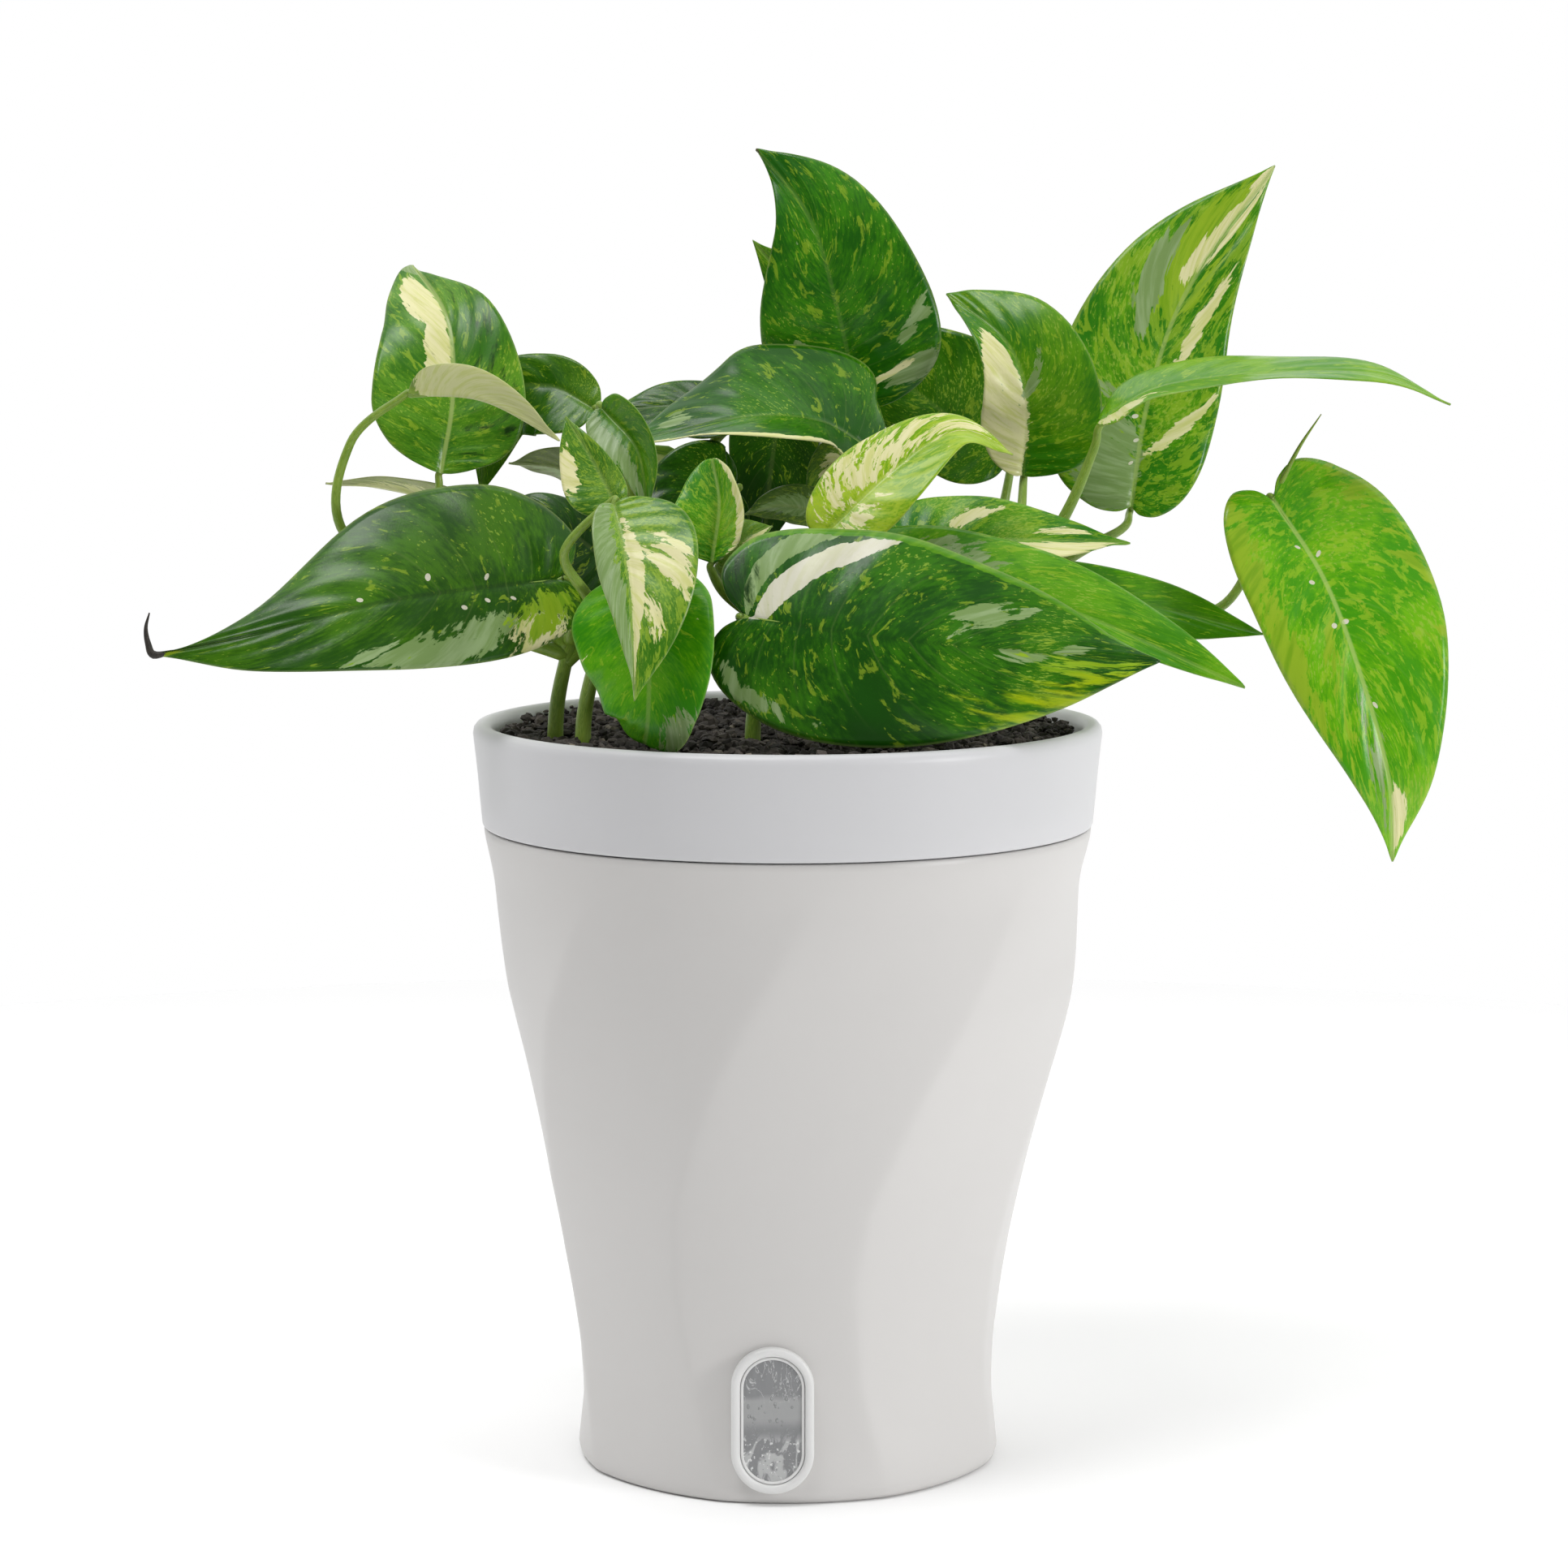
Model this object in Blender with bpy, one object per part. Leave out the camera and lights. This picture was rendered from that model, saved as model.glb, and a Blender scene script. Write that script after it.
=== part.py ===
"""Variegated pothos growing in a self-watering pot.

A fluted outer pot holds the water. A liner with a rim band stands in it, on the outer pot's top edge, and
lifts out with the potting mix and the plant. Metres, +Z up, origin at the middle of the pot's flat base.
"""
import math

import bmesh
import bpy
import numpy as np

MM = 0.001
GAP = 0.3 * MM                      # clearance between neighbouring pieces

# ---- outer pot -------------------------------------------------------------------------------------------
WALL = 2.4 * MM
FLOOR = 3.0 * MM
FOOT_RADIUS = 57.0 * MM             # flat part of the base
POT_OUTLINE = (                     # height and radius of the outside, base to seam, in mm
    (2.5, 58.9), (27, 58.95), (41, 60.2), (61, 63.3), (82, 67.7), (109, 73.8), (130, 78.2),
    (150, 79.5), (162, 80.5), (170, 82.1), (175.2, 83.2),
)
FLUTES = 8
FLUTE_DEPTH = 1.7 * MM
FLUTE_TOP = 171.0                   # mm, where the flutes have run out
THICK_WALL_TOP = 151.0 * MM         # below this the wall also holds the flutes
FLUTE_SWEEP = (                     # height in mm and the turn of the creases in degrees: they lean in an S
    (0, 5.0), (30, -3.0), (60, -6.0), (80, -4.0), (110, 5.5), (140, 17.5), (172, 30.5),
)
POT_SEGMENTS = 40

# ---- water window in the front of the outer pot ----------------------------------------------------------
WINDOW_X = -4.0 * MM
WINDOW_BOTTOM = 3.6 * MM
BEZEL_WIDTH = 22.0 * MM
BEZEL_HEIGHT = 39.6 * MM
BEZEL_RING = 2.4 * MM
BEZEL_FRONT = 60.4 * MM             # how far its face stands from the pot's axis
BEZEL_BACK = 55.0 * MM
PANE_FRONT = 59.6 * MM
PANE_BACK = 57.0 * MM
END_SEGMENTS = 6                    # of each half circle of the window's outline

# ---- liner -----------------------------------------------------------------------------------------------
LINER_SEGMENTS = 36
LINER_PROFILE = (                   # radius and height in mm, from the well's underside out, up and in again
    (0, 12), (15, 12), (17, 58), (53, 58), (57, 62), (65.2, 100), (73.3, 150), (78.2, 172.6), (80.0, 175.5),
    (83.1, 175.5), (84.1, 184), (85.6, 198), (86.0, 201.5), (84.8, 203.3), (82.4, 203.5),
    (80.6, 202), (79.6, 196), (76.4, 172.6), (71.4, 150), (63.3, 100), (55.6, 64), (52, 60),
    (15, 60), (13, 14), (0, 14),
)
WELL_SLOTS = 4
WELL_SLOT_SIZE = (10.0 * MM, 4.0 * MM, 18.0 * MM)
WELL_SLOT_HEIGHT = 26.0 * MM

# ---- potting mix -----------------------------------------------------------------------------------------
MIX_SEGMENTS = 24
MIX_PROFILE = (                     # radius and height in mm, as for the liner
    (0, 14.4), (12.6, 14.4), (14.5, 60.4), (51.7, 60.4), (55.2, 64), (62.9, 100), (71.0, 150), (75.9, 172.6),
    (78.4, 194), (78.9, 199.3), (77, 200.6), (50, 201.6), (0, 202),
)
PLANTING_DEPTH = 14.0 * MM

# ---- plant -----------------------------------------------------------------------------------------------
BLADE_THICKNESS = 1.1 * MM
BLADE_ROWS = 7                      # steps from the base notch to the tip
BLADE_COLUMNS = 2                   # steps from the midrib to each margin
STEM_SIDES = 6
STEM_RADIUS = 2.9 * MM
PETIOLE_RADIUS = 1.5 * MM
PETIOLE_TIP_RADIUS = 1.1 * MM
NODE_SPACING = 0.05                 # between petioles down a stem, as a share of the stem's run of points
PETIOLE_STANDOFF = 2.4 * MM         # from a blade's base, where the petiole's end stops short of it

# Half a blade laid flat. Shares of its length with a heart-shaped base, the same with an egg-shaped base, and
# shares of its half width.
BLADE_OUTLINE = (
    (0.0, 0.0, 0.0), (-0.055, 0.005, 0.16), (-0.075, 0.03, 0.42), (-0.02, 0.08, 0.72), (0.10, 0.16, 0.93),
    (0.25, 0.27, 1.0), (0.42, 0.42, 0.93), (0.60, 0.60, 0.72), (0.76, 0.76, 0.45), (0.88, 0.88, 0.20),
    (0.95, 0.95, 0.07), (1.0, 1.0, 0.0),
)
WIDEST_VEIN = 5 / 11                # where the blade is widest, as a share of its veins
VEIN_SWEEP = 1.55                   # above 1, the veins leave the midrib early and sweep towards the tip

GREEN = (0.055, 0.15, 0.045)
DARK = (0.03, 0.085, 0.03)
MIXED = (0.30, 0.42, 0.20)
CREAM = (0.62, 0.64, 0.36)
LIME = (0.30, 0.45, 0.10)

# The stems: each rises from the mix through these points, in mm.
STEMS = {
    "stem_left": ((-62, -22, 186), (-62, -22, 208), (-58, -22, 228)),
    "stem_front": ((-54, -34, 186), (-54, -34, 208), (-49, -37, 230)),
    "stem_middle": ((-9, -28, 186), (-9, -28, 208), (-4, -24, 232)),
    "stem_rear": ((6, 34, 186), (6, 34, 210), (9, 35, 230)),
    "stem_right": ((48, 6, 186), (48, 6, 208), (56, 6, 232)),
    "stem_rear_left": ((-34, 28, 186), (-34, 28, 210), (-40, 22, 244)),
    "stem_rear_right": ((46, 44, 186), (46, 44, 204), (49, 45, 216), (58, 48, 232)),
}


def leaf(midrib, facing, widths, stem, route=(), colour=GREEN, fold=(8, 8), curl=(-8, -8), fullness=(1, 1), lobe=1):
    """One leaf. Lengths are in mm, angles in degrees, and pairs are right and left as seen with the tip up.

    midrib     points from the blade's base to its tip
    facing     which way the upper face looks, at the base and at the tip: azimuth (0 is the front, 90 the
               right) and elevation
    widths     of the two halves
    stem       the stem that the leaf grows from
    route      points that the petiole passes between the stem's top and the blade
    fold       how far each half turns up from flat at the midrib
    curl       how much further its margin turns up
    fullness   below 1 the half stays broad towards the tip, above 1 it narrows early
    lobe       1 for a heart-shaped base, 0 for an egg-shaped one
    """
    return {
        "midrib": np.array(midrib) * MM, "facing": [direction(*way) for way in facing],
        "widths": np.array(widths) * MM, "stem": stem, "route": [np.array(point) * MM for point in route],
        "colour": colour, "fold": np.radians(fold), "curl": np.radians(curl), "fullness": fullness,
        "lobe": lobe,
    }


def direction(azimuth, elevation):
    turn, rise = math.radians(azimuth), math.radians(elevation)
    return np.array([math.sin(turn) * math.cos(rise), -math.cos(turn) * math.cos(rise), math.sin(rise)])


LEAVES = {
    "leaf_far_left": leaf(
        ((-60, -36, 245), (-104, -48, 240), (-140, -52, 231), (-166, -50, 226)), ((0, 35), (0, 40)), (31, 20),
        "stem_left", ((-57, -28, 236),), DARK, (12, -15), (-15, -10), (2.0, 0.9), 0.8),
    "leaf_left_upright": leaf(
        ((-94, -2, 271), (-91, 4, 291), (-93, 14, 312), (-104, 34, 327)), ((10, 10), (-10, 60)), (20, 22),
        "stem_left", ((-72, -14, 236), (-92, -2, 256)), MIXED, (12, 8), (-10, -10), (1.15, 0.5), 0),
    "leaf_left_arched": leaf(
        ((-100, -28, 294), (-80, -31, 292), (-60, -32, 281)), ((20, 80), (20, 80)), (9, 8),
        "stem_left", ((-88, -22, 234), (-118, -24, 256), (-116, -26, 280)), CREAM, (65, 40), (10, 10),
        (0.8, 1), 0),
    "leaf_left_back": leaf(
        ((-53, 12, 288), (-66, 18, 294), (-80, 21, 290), (-85, 20, 264)), ((0, 20), (0, 10)), (9, 15),
        "stem_rear_left", ((-44, 18, 268),), DARK, (5, 5), (0, 0), (0.9, 0.8), 0.3),
    "leaf_left_narrow": leaf(
        ((-50, -12, 289), (-40, -20, 278), (-37, -24, 261)), ((-10, 20), (-10, 10)), (9, 9),
        "stem_rear_left", ((-44, 4, 262), (-50, -4, 280)), GREEN, (15, 45), (0, 0), (0.9, 0.8), 0.3),
    "leaf_centre_wide": leaf(
        ((23, 8, 277), (8, 2, 285), (-14, -7, 286), (-46, -4, 278)), ((0, 40), (-10, 50)), (27, 20),
        "stem_rear", ((28, 28, 256),), DARK, (0, 28), (0, 0), (0.9, 0.9), 0.6),
    "leaf_left_streaked": leaf(
        ((-45, -60, 266), (-41, -70, 250), (-39.5, -77, 236), (-39, -82, 217)), ((5, 30), (5, 5)), (8, 19),
        "stem_front", ((-52, -45, 240), (-58, -54, 253)), MIXED, (10, 10), (0, 0), (1.3, 0.9), 0.3),
    "leaf_left_lobed": leaf(
        ((-44, -52, 264), (-50, -47, 275), (-58, -42, 288)), ((0, 10), (0, 20)), (5, 11),
        "stem_front", ((-46, -44, 250),), GREEN, (10, 10), (0, 0), (1, 0.8), 0.2),
    "leaf_front_hanging": leaf(
        ((-40, -54, 246), (-36, -64, 226), (-36, -66, 211), (-37, -63, 203.8)), ((-5, 25), (-28, -10)),
        (19, 19), "stem_front", ((-42, -42, 240),), LIME, (-3, 5), (-8, -8), (0.3, 0.3), 0.5),
    "leaf_small_upright": leaf(
        ((-20, -34, 249), (-18, -30, 264), (-20, -24, 276)), ((0, 0), (0, 30)), (9, 13),
        "stem_middle", ((-16, -30, 240),), GREEN, (45, 8), (0, 0), (0.5, 0.45), 0),
    "leaf_small_side": leaf(
        ((-17, -26, 248), (-12, -24, 254), (-4, -22, 258)), ((0, 45), (0, 45)), (7, 8),
        "stem_middle", (), MIXED, (20, 20), (0, 0), (1, 1), 0.5),
    "leaf_front_big": leaf(
        ((-11, -60, 237), (23, -65, 232), (61, -61, 228), (97, -57, 225)), ((5, 20), (5, 25)), (29, 30),
        "stem_middle", ((-10, -46, 234),), MIXED, (-15, 0), (-3, -12), (0.85, 0.95), 1),
    "leaf_front_narrow": leaf(
        ((19, -34, 250), (70, -37, 238), (121, -38, 216)), ((0, 50), (0, 30)), (11, 16),
        "stem_middle", ((6, -30, 242),), GREEN, (10, 10), (-10, -10), (1, 0.7), 0.6),
    "leaf_right_low": leaf(
        ((55, -18, 241), (95, -8, 236), (130, 0, 227)), ((0, 35), (0, 30)), (13, 10),
        "stem_right", ((55, -6, 237),), DARK, (10, 10), (0, 0), (0.8, 0.8), 0.6),
    "leaf_right_streaked": leaf(
        ((28, -17, 254), (58, -18, 254), (92, -16, 253)), ((0, 45), (0, 50)), (13, 14),
        "stem_right", ((34, -8, 246),), MIXED, (10, 10), (0, 0), (0.9, 0.9), 0.6),
    "leaf_lime_twisted": leaf(
        ((11, -42, 258), (26, -37, 272), (44, -30, 283), (60, -24, 277)), ((0, 20), (0, 60)),
        (12, 12), "stem_middle", ((4, -36, 246),), LIME, (10, 10), (0, 0), (1, 0.9), 0.8),
    "leaf_top": leaf(
        ((20, 34, 287), (14, 30, 314), (6, 31, 340), (-9, 38, 359)), ((-5, 5), (-10, 20)), (27, 23),
        "stem_rear", ((15, 37, 262),), GREEN, (8, 8), (-12, -12), (0.8, 1.4), 0.2),
    "leaf_top_behind": leaf(
        ((16, 58, 292), (6, 60, 314), (-10, 60, 334)), ((-10, 10), (-20, 20)), (15, 11),
        "stem_rear", ((19, 50, 262),), GREEN, (10, 10), (0, 0), (1, 0.9), 0.3),
    "leaf_rear_dark": leaf(
        ((62, 54, 272), (38, 58, 290), (12, 64, 310)), ((0, 10), (0, 10)), (24, 16),
        "stem_rear_right", ((60, 51, 252),), DARK, (5, 5), (0, 0), (0.8, 1), 0.3),
    "leaf_rear_cream": leaf(
        ((65, 24, 269), (66, 22, 290), (60, 24, 306), (44, 36, 319)), ((-15, 0), (-10, 30)), (21, 13),
        "stem_right", ((63, 18, 250),), CREAM, (5, 25), (-8, 0), (0.75, 1), 0.1),
    "leaf_right_tall": leaf(
        ((97, 48, 259), (102, 50, 290), (113, 55, 320), (138, 60, 355)), ((0, 5), (0, 10)), (20, 28),
        "stem_rear_right", ((80, 36, 246), (94, 43, 253)), CREAM, (8, 8), (-8, -8), (1, 0.85), 0.4),
    "leaf_right_flat": leaf(
        ((85, 4, 285), (100, -1, 294), (126, -8, 298), (156, -15, 298), (177, -18, 290)), ((0, 70), (0, 75)),
        (16, 16), "stem_right", ((74, 6, 256), (83, 6, 276)), GREEN, (8, 3), (0, 0), (1, 1), 0.2),
    "leaf_right_hanging": leaf(
        ((131, -8, 264), (144, -16, 243), (154, -22, 216), (161, -24, 190), (163, -20, 167)),
        ((10, 20), (5, 5)), (22, 29), "stem_right", ((90, 12, 230), (118, 4, 234), (129, 1, 255)), LIME,
        (5, 5), (-12, -12), (0.95, 0.9), 0.9),
    "leaf_left_sliver": leaf(
        ((-85, 14, 260), (-110, 21, 266), (-128, 24, 267)), ((180, 60), (180, 60)), (6, 7),
        "stem_rear_left", ((-64, 18, 250),), CREAM, (10, 10), (0, 0)),
    "leaf_left_grey": leaf(
        ((-51, 32, 265), (-64, 34, 271), (-78, 36, 272)), ((180, 50), (180, 50)), (9, 9),
        "stem_rear_left", ((-44, 27, 256),), MIXED, (10, 10), (0, 0)),
    "leaf_left_dark": leaf(
        ((-46, -16, 246), (-64, -16, 260), (-78, -10, 264)), ((0, 40), (0, 50)), (11, 18),
        "stem_left", ((-46, -18, 234),), DARK, (5, 5), (0, 0)),
    "leaf_rear_holed": leaf(
        ((-2, 50, 290), (-5, 47, 266), (-7, 43, 245)), ((0, 10), (0, 5)), (13, 13),
        "stem_rear", ((11, 47, 256), (9, 55, 272), (3, 57, 286)), DARK, (5, 5), (0, 0)),
    "leaf_rear_streaked": leaf(
        ((20, 20, 277), (13, 20, 270), (7, 18, 255)), ((0, 10), (0, 10)), (8, 8),
        "stem_rear", ((17, 29, 262),), MIXED, (5, 5), (0, 0)),
    "leaf_centre_grey": leaf(
        ((11, -2, 260), (-1, -2, 262), (-12, -4, 260)), ((0, 50), (0, 40)), (8, 8),
        "stem_middle", ((4, -12, 248),), MIXED, (10, 10), (0, 0)),
    "leaf_rear_left": leaf(
        ((-15, 26, 286), (-32, 28, 288), (-52, 28, 286)), ((0, 40), (0, 40)), (9, 11),
        "stem_rear_left", ((-24, 24, 272),), DARK, (5, 5), (0, 0)),
    "leaf_centre_dark": leaf(
        ((-15, 18, 266), (-26, 15, 264), (-38, 8, 250)), ((0, 20), (0, 20)), (14, 18),
        "stem_rear_left", ((-24, 22, 258),), DARK, (5, 5), (0, 0)),
    "leaf_back_low_left": leaf(
        ((-38, 52, 234), (-62, 76, 245), (-86, 90, 232)), ((150, 55), (140, 35)), (22, 22),
        "stem_rear_left", ((-36, 42, 228),), GREEN, (8, 8), (-10, -10)),
    "leaf_back_upright": leaf(
        ((-34, 58, 250), (-38, 72, 266), (-44, 80, 240)), ((180, 60), (180, 10)), (16, 16),
        "stem_rear_left", ((-32, 46, 240),), MIXED, (8, 8), (-10, -10)),
    "leaf_back_low": leaf(
        ((14, 56, 232), (22, 84, 242), (30, 106, 222)), ((175, 60), (170, 25)), (24, 24),
        "stem_rear", ((12, 48, 232.5),), GREEN, (8, 8), (-10, -10)),
    "leaf_back_low_right": leaf(
        ((66, 58, 231), (82, 76, 235), (100, 90, 220)), ((150, 55), (140, 30)), (21, 21),
        "stem_rear_right", ((62, 52, 232),), MIXED, (8, 8), (-10, -10)),
}


def clear_scene():
    for item in list(bpy.data.objects):
        bpy.data.objects.remove(item, do_unlink=True)


def make_material(name, colour, roughness, metallic=0.0, alpha=1.0):
    material = bpy.data.materials.new(name)
    material.use_nodes = True
    shader = material.node_tree.nodes["Principled BSDF"]
    shader.inputs["Base Color"].default_value = (*colour, 1.0)
    shader.inputs["Roughness"].default_value = roughness
    shader.inputs["Metallic"].default_value = metallic
    shader.inputs["Alpha"].default_value = alpha
    return material


def make_object(name, vertices, faces, material=None, smooth=True):
    """A mesh object from points in metres, its faces turned outwards."""
    mesh = bpy.data.meshes.new(name)
    mesh.from_pydata([tuple(point) for point in vertices], [], faces)
    shape = bmesh.new()
    shape.from_mesh(mesh)
    bmesh.ops.recalc_face_normals(shape, faces=shape.faces)
    shape.to_mesh(mesh)
    shape.free()
    if smooth:
        mesh.shade_smooth()
        mesh.set_sharp_from_angle(angle=math.radians(40))
    if material:
        mesh.materials.append(material)
    item = bpy.data.objects.new(name, mesh)
    bpy.context.scene.collection.objects.link(item)
    return item


def hide_cutter(item):
    item.hide_render = True
    item.display_type = "WIRE"


def combine(target, other, operation):
    """Cut or join another object into the target with a Boolean modifier."""
    modifier = target.modifiers.new(operation.lower(), "BOOLEAN")
    modifier.operation = operation
    modifier.solver = "EXACT"
    modifier.object = other
    hide_cutter(other)


def smooth_curve(points, places):
    """Points of a Catmull-Rom curve through the given points, at places from 0 to 1."""
    points = np.asarray(points, float)
    spans = len(points) - 1
    padded = np.vstack([2 * points[0] - points[1], points, 2 * points[-1] - points[-2]])
    places = np.clip(np.asarray(places, float), 0.0, 1.0) * spans
    start = np.minimum(places.astype(int), spans - 1)
    share = (places - start)[:, None]
    before, first, second, after = (padded[start + step] for step in range(4))
    return 0.5 * (2 * first + (second - before) * share
                  + (2 * before - 5 * first + 4 * second - after) * share ** 2
                  + (3 * first - before - 3 * second + after) * share ** 3)


# ---- turned pieces ---------------------------------------------------------------------------------------
def turned(name, profile, segments, material, reshape=None):
    """A closed solid turned about Z from a profile of (radius, height) that starts and ends on the axis."""
    vertices, rings = [], []
    for radius, height in profile:
        if radius == 0:
            rings.append([len(vertices)])
            vertices.append((0.0, 0.0, height))
            continue
        ring = []
        for step in range(segments):
            angle = 2 * math.pi * step / segments
            out = reshape(radius, height, angle) if reshape else radius
            ring.append(len(vertices))
            vertices.append((out * math.sin(angle), -out * math.cos(angle), height))
        rings.append(ring)
    faces = []
    for lower, upper in zip(rings, rings[1:]):
        for step in range(segments):
            following = (step + 1) % segments
            corners = [lower[step % len(lower)], lower[following % len(lower)],
                       upper[following % len(upper)], upper[step % len(upper)]]
            faces.append(tuple(dict.fromkeys(corners)))
    return make_object(name, vertices, faces, material)


def in_metres(profile):
    return [(radius * MM, height * MM) for radius, height in profile]


def flute_turn(height):
    """How far the creases have turned round the pot at a height, in radians."""
    heights, turns = zip(*FLUTE_SWEEP)
    return math.radians(float(np.interp(height / MM, heights, turns)))


def fluted(radius, height, angle):
    """The outer wall's radius: shallow hollows between sharp creases that fade out under the seam."""
    pitch = 2 * math.pi / FLUTES
    share = ((angle - flute_turn(height)) / pitch + 0.5) % 1.0
    fade = min(1.0, max(0.0, (FLUTE_TOP - height / MM) / 30.0)) * min(1.0, height / MM / 25.0 + 0.3)
    return radius - FLUTE_DEPTH * fade * 4 * share * (1 - share)


def racetrack(name, width, height, front, back, centre, material=None):
    """An upright slab with half-round ends, from `front` to `back` metres ahead of the pot's axis."""
    radius = width / 2
    rise = height / 2 - radius
    outline = []
    for sign in (1, -1):
        for step in range(END_SEGMENTS + 1):
            angle = math.pi * step / END_SEGMENTS
            outline.append((sign * radius * math.cos(angle), sign * (rise + radius * math.sin(angle))))
    count = len(outline)
    vertices = [(centre[0] + x, -depth, centre[1] + z) for depth in (front, back) for x, z in outline]
    faces = [tuple(range(count)), tuple(range(2 * count - 1, count - 1, -1))]
    for step in range(count):
        following = (step + 1) % count
        faces.append((step, following, count + following, count + step))
    return make_object(name, vertices, faces, material, smooth=False)


def make_outer_pot(white):
    outside = [(radius * MM, height * MM) for height, radius in POT_OUTLINE]
    wall = FLUTE_DEPTH + WALL
    inside = [(radius - (wall if height < THICK_WALL_TOP else WALL), height)
              for radius, height in outside if height > FLOOR]
    profile = [(0.0, 0.0), (FOOT_RADIUS, 0.0)] + outside + inside[::-1]
    profile += [(inside[0][0], FLOOR), (0.0, FLOOR)]

    def shape(radius, height, angle):
        is_outside = any(abs(radius - other) < 1e-6 and abs(height - level) < 1e-6 for other, level in outside)
        return fluted(radius, height, angle) if is_outside else radius

    pot = turned("outer_pot", profile, POT_SEGMENTS, white, shape)
    hole = racetrack("window_hole", BEZEL_WIDTH + 2 * GAP, BEZEL_HEIGHT + 2 * GAP, BEZEL_FRONT + 4 * MM,
                     BEZEL_BACK - 6 * MM, (WINDOW_X, WINDOW_BOTTOM + BEZEL_HEIGHT / 2))
    combine(pot, hole, "DIFFERENCE")
    return pot


def make_window(white, clear):
    centre = (WINDOW_X, WINDOW_BOTTOM + BEZEL_HEIGHT / 2)
    bezel = racetrack("window_bezel", BEZEL_WIDTH, BEZEL_HEIGHT, BEZEL_FRONT, BEZEL_BACK, centre, white)
    pane_width = BEZEL_WIDTH - 2 * BEZEL_RING
    pane_height = BEZEL_HEIGHT - 2 * BEZEL_RING
    opening = racetrack("bezel_opening", pane_width, pane_height, BEZEL_FRONT + MM, BEZEL_BACK - MM, centre)
    combine(bezel, opening, "DIFFERENCE")
    racetrack("window_pane", pane_width - 2 * GAP, pane_height - 2 * GAP, PANE_FRONT, PANE_BACK, centre, clear)


def make_box(name, size, centre, turn=0.0):
    corners = []
    for x in (-0.5, 0.5):
        for y in (-0.5, 0.5):
            for z in (-0.5, 0.5):
                corners.append((x * size[0], y * size[1], z * size[2]))
    faces = [(0, 1, 3, 2), (4, 6, 7, 5), (0, 4, 5, 1), (2, 3, 7, 6), (0, 2, 6, 4), (1, 5, 7, 3)]
    box = make_object(name, corners, faces, smooth=False)
    box.location = centre
    box.rotation_euler = (0.0, 0.0, turn)
    return box


def make_liner(white):
    liner = turned("inner_pot", in_metres(LINER_PROFILE), LINER_SEGMENTS, white)
    for step in range(WELL_SLOTS):
        turn = 2 * math.pi * (step + 0.5) / WELL_SLOTS
        place = (15 * MM * math.cos(turn), 15 * MM * math.sin(turn), WELL_SLOT_HEIGHT)
        slot = make_box(f"well_slot_{step + 1}", WELL_SLOT_SIZE, place, turn)
        combine(liner, slot, "DIFFERENCE")


def make_mix(black):
    mix = turned("potting_mix", in_metres(MIX_PROFILE), MIX_SEGMENTS, black)
    for name, points in STEMS.items():
        x, y, bottom = points[0]
        hole = bpy.data.meshes.new(f"{name}_hole")
        shape = bmesh.new()
        depth = PLANTING_DEPTH + 20 * MM
        bmesh.ops.create_cone(shape, cap_ends=True, segments=8, radius1=STEM_RADIUS + 2 * GAP,
                              radius2=STEM_RADIUS + 2 * GAP, depth=depth)
        shape.to_mesh(hole)
        shape.free()
        item = bpy.data.objects.new(f"{name}_hole", hole)
        item.location = (x * MM, y * MM, bottom * MM - GAP + depth / 2)
        bpy.context.scene.collection.objects.link(item)
        combine(mix, item, "DIFFERENCE")


# ---- stems and petioles ----------------------------------------------------------------------------------
def tube(name, points, radii, steps, material=None):
    """A round tube with closed ends along a smooth curve through the points, in metres."""
    places = np.linspace(0.0, 1.0, steps + 1)
    centres = smooth_curve(points, places)
    sizes = np.interp(places, np.linspace(0.0, 1.0, len(radii)), radii)
    tangents = np.gradient(centres, axis=0)
    side = np.cross(tangents[0], (0.31, 0.87, 0.12))
    vertices = []
    for centre, tangent, size in zip(centres, tangents, sizes):
        tangent = tangent / np.linalg.norm(tangent)
        side = side - tangent * np.dot(side, tangent)
        side = side / np.linalg.norm(side)
        other = np.cross(tangent, side)
        for step in range(STEM_SIDES):
            angle = 2 * math.pi * step / STEM_SIDES
            vertices.append(centre + size * (math.cos(angle) * side + math.sin(angle) * other))
    faces = [tuple(range(STEM_SIDES)), tuple(range(len(vertices) - STEM_SIDES, len(vertices)))]
    for ring in range(steps):
        for step in range(STEM_SIDES):
            following = (step + 1) % STEM_SIDES
            low, high = ring * STEM_SIDES, (ring + 1) * STEM_SIDES
            faces.append((low + step, low + following, high + following, high + step))
    return make_object(name, vertices, faces, material)


def petiole_points(leaf, order):
    """From inside the stem, lower down for each leaf in turn, to just under the blade's base."""
    midrib = leaf["midrib"]
    heading = midrib[1] - midrib[0]
    heading = heading / np.linalg.norm(heading)
    facing = leaf["facing"][0] - heading * np.dot(leaf["facing"][0], heading)
    facing = facing / np.linalg.norm(facing)
    approach = (heading + facing) / math.sqrt(2)
    start = smooth_curve(STEMS[leaf["stem"]], [0.98 - NODE_SPACING * order])[0] * MM
    return [start, *leaf["route"], midrib[0] - approach * PETIOLE_STANDOFF]


def make_stems(green):
    for name, points in STEMS.items():
        stem = tube(name, np.array(points) * MM, (STEM_RADIUS, STEM_RADIUS * 0.9), 4, green)
        borne = [(leaf_name, grown) for leaf_name, grown in LEAVES.items() if grown["stem"] == name]
        for order, (leaf_name, grown) in enumerate(borne):
            route = petiole_points(grown, order)
            petiole = tube(leaf_name.replace("leaf", "petiole"), route,
                           (PETIOLE_RADIUS, PETIOLE_TIP_RADIUS), len(route) + 2, green)
            combine(stem, petiole, "UNION")


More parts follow.
